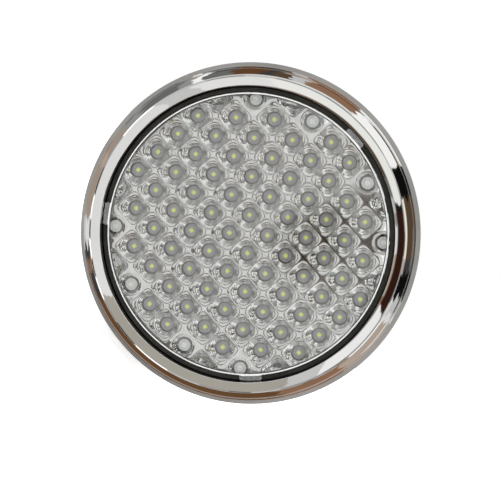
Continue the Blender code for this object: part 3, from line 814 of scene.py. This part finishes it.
def rivet_plug():
    """The round pocket of a rivet, with the hole for its shank."""
    outline = [(0, PLATE_FOOT - 1), (RIVET_BORE, PLATE_FOOT - 1), (RIVET_BORE, POCKET_FLOOR),
               (POCKET_R, POCKET_FLOOR), (POCKET_R + 0.25, 1.9), (POCKET_R + 0.6, 1.98),
               (POCKET_R + 0.8, 3.3), (POCKET_R + 1.1, 3.38), (POCKET_R + 1.35, PLATE_TOP - 0.1),
               (POCKET_R + 1.45, PLATE_TOP), (POCKET_R + 1.45, PLATE_TOP + 0.5), (0, PLATE_TOP + 0.5)]
    return turned("rivet_plug", outline, sides=40)


def rivet_groove():
    """The groove round a rivet's head, made dark by painted shade in the metallised finish."""
    near, far = RIVET_HEAD_R - 0.1, POCKET_R - 0.05
    low, high = POCKET_FLOOR - 0.5, POCKET_FLOOR + 0.2
    return turned("rivet_groove", [(near, low), (far, low), (far, high), (near, high)], sides=32)


def limited(plugs, radius):
    """The plugs, cut short at a radius."""
    return combine(plugs, turned("limit", rod(radius, PLATE_FOOT - 3, PLATE_TOP + 3)), "INTERSECT")


def reflector_plate():
    outline = [(0, PLATE_FOOT), (PLATE_R, PLATE_FOOT, 0.2), (PLATE_R, PLATE_TOP, 0.3), (0, PLATE_TOP)]
    plate = turned("reflector", rounded(outline, closed=False))
    combine(plate, limited(stamped("cups", cup_plug(), LIT), RIM_R), "DIFFERENCE")
    combine(plate, limited(stamped("short_cups", cup_plug(blind=True), SHORT), RIM_R), "DIFFERENCE")
    combine(plate, limited(stamped("pockets", rivet_plug(), RIVETED), PLATE_R - 0.4), "DIFFERENCE")
    combine(plate, stamped("rivet_grooves", rivet_groove(), RIVETED), "DIFFERENCE")
    return plate


install(reflector_plate(), METALLISED, "metallised_optic", "reflector")

# %% [markdown]
# ## The LEDs
# Behind every cup sits one LED: a round grey window with a small yellow-green square of
# phosphor at its middle. A lamp has seventy-two of them, so each is kept to a few dozen faces
# and stamped, with a slight wobble because they are soldered by machine, not machined.

# %% Stamp the LEDs
WINDOW_R = 2.8
WINDOW_TOP = LED_TOP - 0.05
PHOSPHOR_WIDTH = 1.55
LAYER_TOP = LED_TOP - 0.5


def led_window():
    outline = [(0, LAYER_TOP - 0.1), (WINDOW_R, LAYER_TOP - 0.1), (WINDOW_R, WINDOW_TOP - 0.25),
               (WINDOW_R - 0.2, WINDOW_TOP - 0.1), (WINDOW_R * 0.6, WINDOW_TOP - 0.02), (0, WINDOW_TOP)]
    return turned("window", outline, sides=28)


def led_phosphor():
    levels = ((PHOSPHOR_WIDTH, 0.06, WINDOW_TOP - 0.15), (PHOSPHOR_WIDTH, 0.06, WINDOW_TOP - 0.02),
              (PHOSPHOR_WIDTH - 0.1, 0.05, WINDOW_TOP + 0.04))
    return lofted("phosphor", [[(x, y, level) for x, y in box_outline(width, width, corner, steps=2)]
                               for width, corner, level in levels])


def copper_layer():
    layer = turned("led_copper_layer", rod(LED_LAYER_R, LAYER_FOOT, LAYER_TOP), sides=96)
    return drilled(layer, "layer_hole", RIVET_BORE, LAYER_FOOT - 1, LAYER_TOP + 1, RIVETED, sides=24)


install(copper_layer(), BOARD, "board_white")
install(stamped("led_windows", led_window(), LIT), PACK, "led_pack", "led_array")
install(stamped("led_phosphors", led_phosphor(), LIT, wobble=4.0), PHOSPHOR, "led_pack")

# %% [markdown]
# ## The rivets
# Eight push rivets hold the reflector and the board on columns of the tub. From the front each
# shows a pale round head with a small dimple, lightened by a painted glow, in a groove darkened
# by painted shade. One is turned, then stamped.

# %% Stamp the rivets
RIVET_TIP, RIVET_TOP = reach("optic_rivet_1")[1:]


def push_rivet():
    seat = RIVET_TOP - 0.9
    outline = [(0, RIVET_TIP), (RIVET_SHANK - 0.5, RIVET_TIP, 0.2), (RIVET_SHANK, RIVET_TIP + 1.0, 0.3),
               (RIVET_SHANK, seat), (RIVET_HEAD_R, seat, 0.1), (RIVET_HEAD_R, RIVET_TOP - 0.15, 0.2),
               (0.95, RIVET_TOP, 0.1), (0.85, RIVET_TOP - 0.5, 0.1), (0.4, RIVET_TOP - 0.5, 0.1),
               (0.3, RIVET_TOP - 0.1, 0.1), (0, RIVET_TOP - 0.05)]
    return turned("rivet", rounded(outline, closed=False), sides=32)


install(stamped("optic_rivets", push_rivet(), RIVETED), NYLON, "rivet_nylon", *numbered("optic_rivet", 8))

# %% [markdown]
# ## The tub
# The black body is moulded in one shot: a flange that carries the ring, a round wall through
# the panel, a flat floor and stiffening ribs across the rear shoulder. It is turned, the ribs
# and columns are stamped and joined on, and the holes are cut last, which is the order in
# which a moulder's drawing adds them too. Shallow ejector marks show where pins pushed it out.

# %% Mould the tub
TUB_R = FLANGE_R - 7.5
FLOOR_OUTSIDE = reach("connector_seal")[2] + 0.3
FLOOR_INSIDE = FLOOR_OUTSIDE + 2.5
FLANGE_BACK = 1.4
BOARD_FOOT = reach("circuit_board")[1]
RIB_ANGLES = [15 + 30 * i for i in range(12)]
RIB_HALF = 0.9
STUD_R = 2.0
STUD_PLACES = round_places(FLANGE_R - 3.1, (30.0, 150.0, 270.0))
SOCKET_SCREW_X = reach("connector_screw_2")[0] - 2.6
SOCKET_SCREWS = [(side * SOCKET_SCREW_X, 0, 0) for side in (-1, 1)]
SCREW_BORE = 1.7
VENT_Y = 32.0


def rib():
    """One stiffening rib, drawn along X and eased along its edges."""
    corners = [(44.0, FLOOR_OUTSIDE + 0.8), (TUB_R - 0.8, -10.5), (TUB_R - 0.8, FLOOR_OUTSIDE + 2.5, 1.5),
               (TUB_R - 4.0, FLOOR_OUTSIDE - RIB_HALF, 2.0), (46.0, FLOOR_OUTSIDE - RIB_HALF, 1.0)]
    outline = rounded(corners)
    return lofted("rib", [[(r, y, z) for r, z in outline] for y in (-RIB_HALF, RIB_HALF)])


def tub():
    corners = [(0, FLOOR_OUTSIDE), (51.0, FLOOR_OUTSIDE, 1.5), (TUB_R - 1.0, -12.8, 2.5),
               (TUB_R, -11.5, 1.0), (TUB_R, FLANGE_BACK, 0.4), (FLANGE_R, FLANGE_BACK, 0.3),
               (FLANGE_R, 2.4, 0.3), (FLANGE_R - 0.6, FLANGE_TOP, 0.3), (TUB_INNER_R, FLANGE_TOP, 0.3),
               (TUB_INNER_R, -12.0, 1.5), (54.0, FLOOR_INSIDE, 1.5), (0, FLOOR_INSIDE)]
    body = turned("housing", rounded(corners, closed=False), sides=192)
    column = turned("column", rod(2.7, FLOOR_INSIDE - 1.0, BOARD_FOOT - 0.3), HOLE_SIDES)
    boss = turned("boss", rod(3.2, FLOOR_INSIDE - 2.0, FLOOR_INSIDE + 6.5), HOLE_SIDES)
    ribs = stamped("ribs", rib(), [(0, 0, angle) for angle in RIB_ANGLES])
    for added in (ribs, stamped("columns", column, RIVETED), stamped("bosses", boss, SOCKET_SCREWS)):
        combine(body, added, "UNION")
    return body


def finished_tub():
    body = tub()
    drilled(body, "rivet_hole", RIVET_BORE, RIVET_TIP - 1.0, 0, RIVETED)
    drilled(body, "stud_hole", STUD_R + 0.2, 0, 6, STUD_PLACES)
    drilled(body, "head_seat", 3.2, FLANGE_TOP - 1.2, 6, STUD_PLACES)
    drilled(body, "screw_hole", SCREW_BORE, FLOOR_OUTSIDE - 1, FLOOR_INSIDE + 4.5, SOCKET_SCREWS)
    drilled(body, "vent", 2.3, FLOOR_OUTSIDE - 3, FLOOR_INSIDE + 3, [(0, VENT_Y, 0)])
    marks = round_places(36.0, [45, 135, 225, 315])
    drilled(body, "ejector_mark", 3.0, FLOOR_OUTSIDE - 2, FLOOR_OUTSIDE + 0.2, marks)
    aperture = slab(box_outline(28.0, 12.0, 1.0), FLOOR_OUTSIDE - 2, FLOOR_INSIDE + 2)
    return combine(body, lofted("aperture", aperture), "DIFFERENCE")


install(finished_tub(), TUB, "black_abs", "housing")

# %% [markdown]
# ## The foam gasket
# A die-cut ring of closed-cell foam seals the flange against the panel. It is flat, with three
# holes for the studs. Its pores are in the finish, and its edges are only lightly eased,
# because a knife cut them.

# %% Cut the gasket
def foam_gasket():
    inner = TUB_R + 0.4
    corners = [(inner, GASKET_BACK, 0.12), (GASKET_R, GASKET_BACK, 0.12), (GASKET_R, GASKET_TOP, 0.12),
               (inner, GASKET_TOP, 0.12)]
    ring = turned("panel_gasket", rounded(corners, steps=2), sides=128)
    return drilled(ring, "gasket_hole", STUD_R + 0.3, -2, 4, STUD_PLACES)


install(foam_gasket(), FOAM, "gasket_foam", "panel_gasket")

# %% [markdown]
# ## Studs, washers and nuts
# Three threaded studs sit in the flange and pass through the panel, each with a flat washer, a
# split spring washer and a nut. A screw thread could be a Screw modifier, but its start and end
# need closing by hand. Here the thread is a height rule on a cylinder: the radius falls and
# rises once per pitch, shifted by the angle, and fades out towards the ends.

# %% Roll the studs
STUD_TIP, STUD_TOP = reach("mounting_stud_1")[1:]
THREAD_PITCH = 0.7
THREAD_DEPTH = 0.42
THREAD_STEPS = 8
THREAD_SIDES = 24


def thread_radius(level, angle, low, high):
    phase = (level / THREAD_PITCH - angle / (2 * math.pi)) % 1.0
    groove = 1 - abs(2 * phase - 1)
    run_out = min(1.0, (level - low) / THREAD_PITCH, (high - level) / THREAD_PITCH)
    return STUD_R - THREAD_DEPTH * max(0.0, min(1.0, 1.25 * groove - 0.1)) * max(0.0, run_out)


def threaded_stud():
    low, high = STUD_TIP + 0.5, 0.3
    head = STUD_TOP - 0.8
    count = round((high - low) / THREAD_PITCH * THREAD_STEPS)
    levels = [low + (high - low) * i / count for i in range(count + 1)]
    angles = [2 * math.pi * i / THREAD_SIDES for i in range(THREAD_SIDES)]

    def level_ring(radius, level):
        return [(radius * math.cos(a), radius * math.sin(a), level) for a in angles]

    rings = [level_ring(STUD_R - 0.5, STUD_TIP)]
    for level in levels:
        radii = [thread_radius(level, a, low - 0.1, high) for a in angles]
        rings.append([(r * math.cos(a), r * math.sin(a), level) for r, a in zip(radii, angles)])
    for radius, level in ((STUD_R, head), (2.9, head), (2.9, STUD_TOP - 0.15), (2.75, STUD_TOP)):
        rings.append(level_ring(radius, level))
    return lofted("stud", rings, sharp=40)


studs = stamped("mounting_studs", threaded_stud(), STUD_PLACES, sharp=40)
install(studs, ZINC, "zinc_steel", *numbered("mounting_stud", 3))

# %% [markdown]
# A hexagon nut is a prism whose corners are turned off on both sides, so it is a prism crossed
# with a turned barrel, then bored. A spring washer is one turn of a square section with its
# ends apart and slightly out of level, so it is swept through almost a full circle.

# %% Nuts and washers
NUT_ACROSS = 7.0


def hex_nut():
    back, front = reach("hex_nut_1")[1:]
    corner = NUT_ACROSS / math.sqrt(3)
    nut = lofted("nut", slab([polar(corner, 60 * i) for i in range(6)], back, front), sharp=20)
    face_r, barrel_r = NUT_ACROSS / 2 - 0.05, corner + 0.05
    barrel = [(0, back), (face_r, back), (barrel_r, back + 0.38), (barrel_r, front - 0.38), (face_r, front),
              (0, front)]
    combine(nut, turned("barrel", barrel, sides=96), "INTERSECT", sharp=20)
    bore = STUD_R + 0.1
    mouth = bore + 0.3
    bore_outline = [(0, back - 1), (mouth, back - 1), (mouth, back), (bore, back + 0.3), (bore, front - 0.3),
                    (mouth, front), (mouth, front + 1), (0, front + 1)]
    return combine(nut, turned("bore", bore_outline, sides=48), "DIFFERENCE", sharp=20)


def flat_washer():
    back, front = reach("flat_washer_1")[1:]
    bore = STUD_R + 0.25
    corners = [(bore, back, 0.08), (4.0, back, 0.2), (4.0, front, 0.08), (bore, front, 0.08)]
    return turned("washer", rounded(corners, steps=2), sides=64)


def spring_washer():
    back, front = reach("spring_washer_1")[1:]
    bore, edge, thick = STUD_R + 0.15, 3.6, 0.75
    section = rounded([(bore, 0, 0.08), (edge, 0, 0.08), (edge, thick, 0.08), (bore, thick, 0.08)], steps=2)
    rise = front - back - thick
    turns = 64
    rings = []
    for i in range(turns + 1):
        angle = math.radians(5 + 350 * i / turns)
        lift = back + rise * i / turns
        rings.append([(r * math.cos(angle), r * math.sin(angle), z + lift) for r, z in section])
    return lofted("spring", rings)


for name, piece in (("hex_nut", hex_nut()), ("flat_washer", flat_washer()),
                    ("spring_washer", spring_washer())):
    install(stamped(name + "s", piece, STUD_PLACES, sharp=20), ZINC, "zinc_steel", *numbered(name, 3))

# %% [markdown]
# ## The plug socket
# The lamp is wired through a socket screwed on the tub's floor. It is one moulding: a flange
# plate and a shroud with round corners and a deep hollow. Level outlines from the hollow's
# floor, up its inner wall, over the mouth and down the outside to the plate describe all of it,
# so it is a single loft.

# %% Mould the socket
SOCKET_MOUTH = reach("connector_socket")[1]
PLATE_FRONT = FLOOR_OUTSIDE - 1.6
PLATE_THICK = 2.0
PIN_PLACES = [(x, 0, 0) for x in (-8.0, 0.0, 8.0)]


def plug_socket():
    back, mouth = PLATE_FRONT - PLATE_THICK, SOCKET_MOUTH
    levels = [(26.0, 12.0, 1.0, back), (26.0, 12.0, 1.0, mouth + 0.5), (26.8, 12.8, 1.4, mouth),
              (28.6, 14.6, 2.1, mouth), (29.2, 15.2, 2.4, mouth + 0.35), (29.2, 15.2, 2.4, back - 0.8),
              (30.6, 16.6, 3.0, back), (45.2, 19.2, 3.6, back), (46.0, 20.0, 4.0, back + 0.35),
              (46.0, 20.0, 4.0, PLATE_FRONT)]
    socket = lofted("connector_socket", [[(x, y, z) for x, y in box_outline(wide, high, corner)]
                                         for wide, high, corner, z in levels])
    drilled(socket, "plate_hole", SCREW_BORE, back - 1, PLATE_FRONT + 1, SOCKET_SCREWS)
    return drilled(socket, "pin_hole", 1.5, back - 1, PLATE_FRONT + 1, PIN_PLACES)


install(plug_socket(), TUB, "black_abs", "connector_socket")

# %% [markdown]
# Three round pins stand in the socket. Two cross-head screws hold it down, and their recess is
# the cross of two tapered blades sunk in the head.

# %% Pins and screws
def terminal_pin():
    back, front = reach("terminal_ground")[1:]
    outline = [(0, back), (0.65, back, 0.3), (1.25, back + 1.2, 0.5), (1.25, front, 0.1), (0, front)]
    return turned("pin", rounded(outline, closed=False), sides=32)


def cross_screw():
    back, front = reach("connector_screw_1")[1:]
    under = back + 1.8
    outline = [(0, back), (1.9, back, 0.6), (2.6, under - 0.5, 0.5), (2.6, under, 0.1), (1.4, under),
               (1.4, front - 1.2), (0.5, front), (0, front)]
    screw = turned("screw", rounded(outline, closed=False), sides=40)
    blade = ((1.5, 0.34, back - 0.5), (1.15, 0.26, back + 0.2), (0.5, 0.2, back + 1.2))
    for turn in (0, 1):
        rings = [[(x * sizes[turn], y * sizes[1 - turn], sizes[2]) for x, y in SQUARE] for sizes in blade]
        combine(screw, lofted("blade", rings), "DIFFERENCE")
    return screw


SCREW_PLACES = [(-SOCKET_SCREW_X, 0, 20), (SOCKET_SCREW_X, 0, 65)]
install(stamped("terminals", terminal_pin(), PIN_PLACES), TINNED, "tinned_brass",
        "terminal_tail", "terminal_ground", "terminal_stop")
install(stamped("connector_screws", cross_screw(), SCREW_PLACES), ZINC, "zinc_steel",
        *numbered("connector_screw", 2))

# %% [markdown]
# ## The breather
# A small rubber plug lets the air in the lamp swell and shrink as it warms and cools. Four
# notches round its cap leave the way open when something lies against it.

# %% Turn the breather
def breather():
    low, high = reach("breather_plug")[1:]
    cap = FLOOR_OUTSIDE - 0.3
    outline = [(0, low), (2.9, low, 0.8), (4.2, low + 1.3, 0.5), (4.2, cap, 0.15), (2.0, cap, 0.1),
               (2.0, high, 0.4), (0, high)]
    plug = turned("breather", rounded(outline, closed=False), sides=48)
    notch = turned("notch", rod(0.55, low - 1, cap + 1), 16)
    combine(plug, stamped("notches", notch, round_places(4.2, (0, 90, 180, 270))), "DIFFERENCE")
    return stamped("breather_plug", plug, [(0, VENT_Y, 45)])


install(breather(), RUBBER, "seal_rubber", "breather_plug")

# %% [markdown]
# ## What is inside
# The board, its parts and the leads are closed in, so they keep the frame's shapes. A copy of
# each is merged, its flat faces are joined again and its edges are eased, which is quicker
# than drawing fourteen small parts and good enough for what nobody sees.

# %% Ease the inner parts
def eased_copy(node, width):
    """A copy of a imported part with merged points, whole flat faces and eased edges."""
    bm = bmesh.new()
    bm.from_mesh(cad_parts[node].data)
    bmesh.ops.remove_doubles(bm, verts=bm.verts, dist=1e-6)
    bmesh.ops.dissolve_limit(bm, angle_limit=math.radians(2), verts=bm.verts, edges=bm.edges)
    mesh = bpy.data.meshes.new(node + "_eased")
    bm.to_mesh(mesh)
    bm.free()
    mesh.transform(STAND_UP.inverted())
    obj = placed(node + "_eased", mesh)
    bevel = obj.modifiers.new("ease", "BEVEL")
    bevel.width = width
    bevel.segments = 2
    bevel.limit_method = "ANGLE"
    bevel.angle_limit = math.radians(40)
    bpy.context.view_layer.update()
    return settle(obj)


INNER_PARTS = [
    (CHIP, "chip_black", 0.25, ["current_driver_tail", "current_driver_stop", "feed_diode_tail",
                                "feed_diode_stop", *numbered("ballast_resistor", 4)]),
    (SLEEVE, "capacitor_sleeve", 0.3, ["smoothing_capacitor"]),
    (BOARD, "board_white", 0.1, ["circuit_board"]),
    (RUBBER, "seal_rubber", 0.2, ["connector_seal"]),
    (LEAD, "lead_insulation", 0.05, ["lead_tail", "lead_ground", "lead_stop"])]
for finish, slot, width, nodes in INNER_PARTS:
    for node in nodes:
        install(eased_copy(node, width), finish, slot, node)

# %% [markdown]
# ## Light and floor
# Chrome shows nothing of its own, only what stands round it. In an all-white tent it would look
# like grey plastic, so the light comes from a plain pale room with a few dark and brown things
# in it, drawn as sectors round the lamp. Only reflections see the sectors. Dull surfaces
# are lit by an even white sky, and the camera sees a white background.

# %% The room that the chrome reflects
ROOM_RIGHT = Vector((0.665, 0.0, 0.747))
ROOM_UP = Vector((-0.747, 0.0, 0.665))
ROOM_FRONT = Vector((0.0, -1.0, 0.0))
FACE_MIRRORS = Vector((-0.049, -0.993, -0.105)).normalized()


def shade(red, green=None, blue=None):
    """A colour given as it shows on screen, from 0 to 1, turned into light."""
    channels = (red, red if green is None else green, red if blue is None else blue)
    return tuple(c / 12.92 if c < 0.04 else ((c + 0.055) / 1.055) ** 2.4 for c in channels)


TONES = (0.98, 0.88, 0.76, 0.58, 0.42, 0.24, 0.06)
WHITE, PALE, LIGHT, GREY, DIM, DARK, BLACK = (shade(tone) for tone in TONES)
CREAM, BEIGE, STONE = shade(0.95, 0.91, 0.86), shade(0.70, 0.64, 0.59), shade(0.63, 0.57, 0.52)
TAN, OLIVE, BROWN = shade(0.55, 0.42, 0.33), shade(0.40, 0.285, 0.19), shade(0.38, 0.26, 0.17)
UMBER, RED_BROWN = shade(0.33, 0.27, 0.21), shade(0.19, 0.11, 0.08)

# Each sector runs from its angle to the next: what stands before the lamp, beside it and behind it
WALL_SECTORS = [
    (0, CREAM, UMBER, UMBER), (12, BLACK, BLACK, BLACK), (24, WHITE, WHITE, UMBER),
    (46, WHITE, WHITE, WHITE), (52, PALE, TAN, OLIVE), (74, PALE, LIGHT, BEIGE), (80, PALE, UMBER, STONE),
    (86, PALE, DARK, DARK), (91, PALE, BROWN, BROWN), (102, PALE, DIM, DARK), (112, LIGHT, WHITE, WHITE),
    (116, LIGHT, GREY, BEIGE), (121, LIGHT, DIM, DIM), (137, GREY, GREY, GREY), (142, DIM, GREY, DARK),
    (146, DIM, STONE, GREY), (155, TAN, BEIGE, TAN), (160, BEIGE, STONE, STONE), (177, PALE, PALE, LIGHT),
    (185, GREY, DARK, DARK), (189, LIGHT, TAN, DIM), (194, DIM, DARK, TAN), (202, UMBER, OLIVE, STONE),
    (231, BROWN, OLIVE, STONE), (274, STONE, TAN, BEIGE), (283, OLIVE, TAN, BEIGE), (288, BEIGE, TAN, BEIGE),
    (298, TAN, BEIGE, BEIGE), (304, WHITE, BEIGE, PALE), (321, PALE, PALE, DIM), (326, PALE, LIGHT, DARK),
    (332, BLACK, BLACK, BLACK), (343, BEIGE, DARK, DIM), (348, CREAM, UMBER, DIM)]
CREST_SECTORS = [(0, shade(0.89)), (25, shade(0.66, 0.645, 0.61)), (118, shade(0.79)), (130, shade(0.95)),
                 (157, RED_BROWN), (191, BLACK), (193, shade(0.935, 0.935, 0.92)), (250, shade(0.9)),
                 (275, shade(0.79)), (290, shade(0.88))]
# What the level treads of the cups mirror, counted round the direction that the flat face mirrors
TUBE = (1.35, 1.35, 1.35)
CUP_SECTORS = [
    (0, TUBE), (8, BLACK), (15, TUBE), (25, GREY), (34, DARK), (44, TUBE), (60, LIGHT), (72, GREY),
    (84, DIM), (92, LIGHT), (104, GREY), (120, DIM), (130, GREY), (148, LIGHT), (156, GREY), (172, DIM),
    (182, GREY), (200, LIGHT), (210, GREY), (228, DIM), (238, GREY), (256, LIGHT), (270, GREY),
    (284, LIGHT), (304, TUBE), (318, GREY), (334, BLACK), (344, TUBE), (352, BLACK)]
print("sectors for the walls, the crest and the cups:",
      len(WALL_SECTORS), len(CREST_SECTORS), len(CUP_SECTORS))

# %% [markdown]
# A world shader only knows in which direction a ray leaves, so a place in the room is two
# angles: how far round the lamp it stands, and how far it leans away from an axis.

# %% Where something stands in the room
RAGGED_EDGE = 0.03


def along(tree, axis):
    """How far a direction points along an axis, from -1 to 1."""
    looking = add_node(tree, "ShaderNodeTexCoord").outputs["Generated"]
    made = add_node(tree, "ShaderNodeVectorMath", {0: looking, 1: axis}, operation="DOT_PRODUCT")
    return made.outputs["Value"]


def ragged(tree):
    """A small random shift, so that no edge in the room is ruled."""
    looking = add_node(tree, "ShaderNodeTexCoord").outputs["Generated"]
    noise = add_node(tree, "ShaderNodeTexNoise", {"Vector": looking, "Scale": 5.0, "Detail": 3.0}).outputs[0]
    return calc(tree, "MULTIPLY", calc(tree, "SUBTRACT", noise, 0.5), RAGGED_EDGE)


def turn_of(tree, side, height):
    """Where round the lamp something stands, from 0 to 1."""
    bearing = calc(tree, "MULTIPLY", calc(tree, "ARCTAN2", height, side), 0.5 / math.pi)
    return calc(tree, "FRACT", calc(tree, "ADD", bearing, ragged(tree)))


def lean_of(tree, cosine):
    """How far something stands from an axis, in degrees."""
    return calc(tree, "MULTIPLY", calc(tree, "ARCCOSINE", cosine), 180 / math.pi)


def beyond(tree, value, low, high):
    """0 below low, 1 above high and a soft step between."""
    made = add_node(tree, "ShaderNodeMapRange", {"Value": value, "From Min": low, "From Max": high},
                    interpolation_type="SMOOTHSTEP")
    return made.outputs[0]


def sector_ramp(tree, turn, sectors):
    """The colours of (angle in degrees, colour) sectors round the lamp."""
    ramp = add_node(tree, "ShaderNodeValToRGB", {"Fac": turn})
    stops = ramp.color_ramp.elements
    ramp.color_ramp.interpolation = "CONSTANT"
    stops.remove(stops[1])
    before = sectors[0][1]
    stops[0].position = 0
    stops[0].color = (*before, 1)
    for angle, color in sectors[1:]:
        if color != before:
            stops.new(angle / 360).color = (*color, 1)
        before = color
    return ramp.outputs["Color"]


print(f"sector edges wander by up to {RAGGED_EDGE / 2 * 360:.0f} degrees")

# %% [markdown]
# The lamp's flat plate mirrors whoever looks at it, so a dark brown patch stands in front of
# it. Everything else is a set of zones, each farther from the axis than the one before: what
# the cups see, what the ring's crest sees, and three belts of the walls.

# %% Put the room together
VIEWER_PLACE = (0.0074, -0.054)
VIEWER_HALF = (0.042, 0.058)
VIEWER_EDGE = (0.75, 1.15)
VIEWER_RAGGED = 20
CUPS_FROM, CREST_FROM = (11.5, 12.5), (27, 28)
NEAR_FROM, MIDWAY_FROM, FAR_FROM = (44, 47), (92, 98), (133, 140)
SKY = 1.5


def viewer_patch(tree):
    """1 where the one who looks at the lamp stands, and 0 elsewhere."""
    square = 0.0
    for axis, middle, half in zip(((1, 0, 0), (0, 0, 1)), VIEWER_PLACE, VIEWER_HALF):
        off = calc(tree, "DIVIDE", calc(tree, "SUBTRACT", along(tree, axis), middle), half)
        square = calc(tree, "ADD", calc(tree, "MULTIPLY", off, off), square)
    shift = calc(tree, "MULTIPLY", ragged(tree), VIEWER_RAGGED)
    distance = calc(tree, "ADD", calc(tree, "SQRT", square), shift)
    behind = calc(tree, "GREATER_THAN", 0.0, along(tree, ROOM_FRONT))
    return apart_from(tree, calc(tree, "MAXIMUM", beyond(tree, distance, *VIEWER_EDGE), behind))


def room():
    world = bpy.data.worlds.new("room")
    bpy.context.scene.world = world
    world.use_nodes = True
    tree = world.node_tree
    tree.nodes.clear()
    right, up = along(tree, ROOM_RIGHT), along(tree, ROOM_UP)
    turn, lean = turn_of(tree, right, up), lean_of(tree, along(tree, ROOM_FRONT))
    cup_turn = turn_of(tree, calc(tree, "SUBTRACT", right, FACE_MIRRORS.dot(ROOM_RIGHT)),
                       calc(tree, "SUBTRACT", up, FACE_MIRRORS.dot(ROOM_UP)))
    cup_lean = lean_of(tree, along(tree, FACE_MIRRORS))
    near, midway, far = (sector_ramp(tree, turn, [(row[0], row[depth]) for row in WALL_SECTORS])
                         for depth in (1, 2, 3))

    color = (*shade(0.93), 1)
    for place, edge, zone in ((cup_lean, CUPS_FROM, sector_ramp(tree, cup_turn, CUP_SECTORS)),
                              (cup_lean, CREST_FROM, sector_ramp(tree, turn, CREST_SECTORS)),
                              (lean, NEAR_FROM, near), (lean, MIDWAY_FROM, midway), (lean, FAR_FROM, far)):
        color = mixed(tree, beyond(tree, place, *edge), color, zone)
    color = mixed(tree, viewer_patch(tree), color, (*shade(0.22, 0.15, 0.09), 1))
    path = add_node(tree, "ShaderNodeLightPath").outputs
    color = mixed(tree, path["Is Diffuse Ray"], color, (SKY, SKY, SKY, 1))
    color = mixed(tree, path["Is Camera Ray"], color, (1, 1, 1, 1))
    shader = add_node(tree, "ShaderNodeBackground", {"Color": color, "Strength": 1.0})
    add_node(tree, "ShaderNodeOutputWorld", {"Surface": shader.outputs[0]})
    return world


print("room:", room().name)

# %% [markdown]
# The floor is a wide pale sheet just under the lamp. It is bright enough to run into the
# background, and neither the chrome nor the lens shows it.

# %% The floor
FLOOR_DROP = 0.001
FLOOR_HALF = 0.6
FLOOR_GLOW = 0.6


def pale_floor():
    material, tree, shader = blank_finish("pale_floor", Emission_Strength=FLOOR_GLOW)
    shader.inputs["Emission Color"].default_value = (1, 1, 1, 1)
    color = tint(tree, mottle(tree, 30, 0.0, 1.0), (0.86, 0.86, 0.86), (0.9, 0.9, 0.9))
    dress(tree, shader, color, mottle(tree, 80, 0.8, 0.95))
    bm = bmesh.new()
    level = cad_box[0][2] - FLOOR_DROP
    bm.faces.new([bm.verts.new((x * FLOOR_HALF, y * FLOOR_HALF, level)) for x, y in SQUARE])
    mesh = bpy.data.meshes.new("floor")
    bm.to_mesh(mesh)
    bm.free()
    mesh.materials.append(material)
    floor = placed("floor", mesh)
    floor.visible_glossy = False
    floor.visible_transmission = False
    return floor


print("floor at", round(pale_floor().data.vertices[0].co.z, 4))

# %% [markdown]
# ## The size of the frame
# The box of the imported frame is printed. The fine pieces have to stay in the space of the
# plain ones.

# %% Print the frame's box
print("frame box:", cad_box)
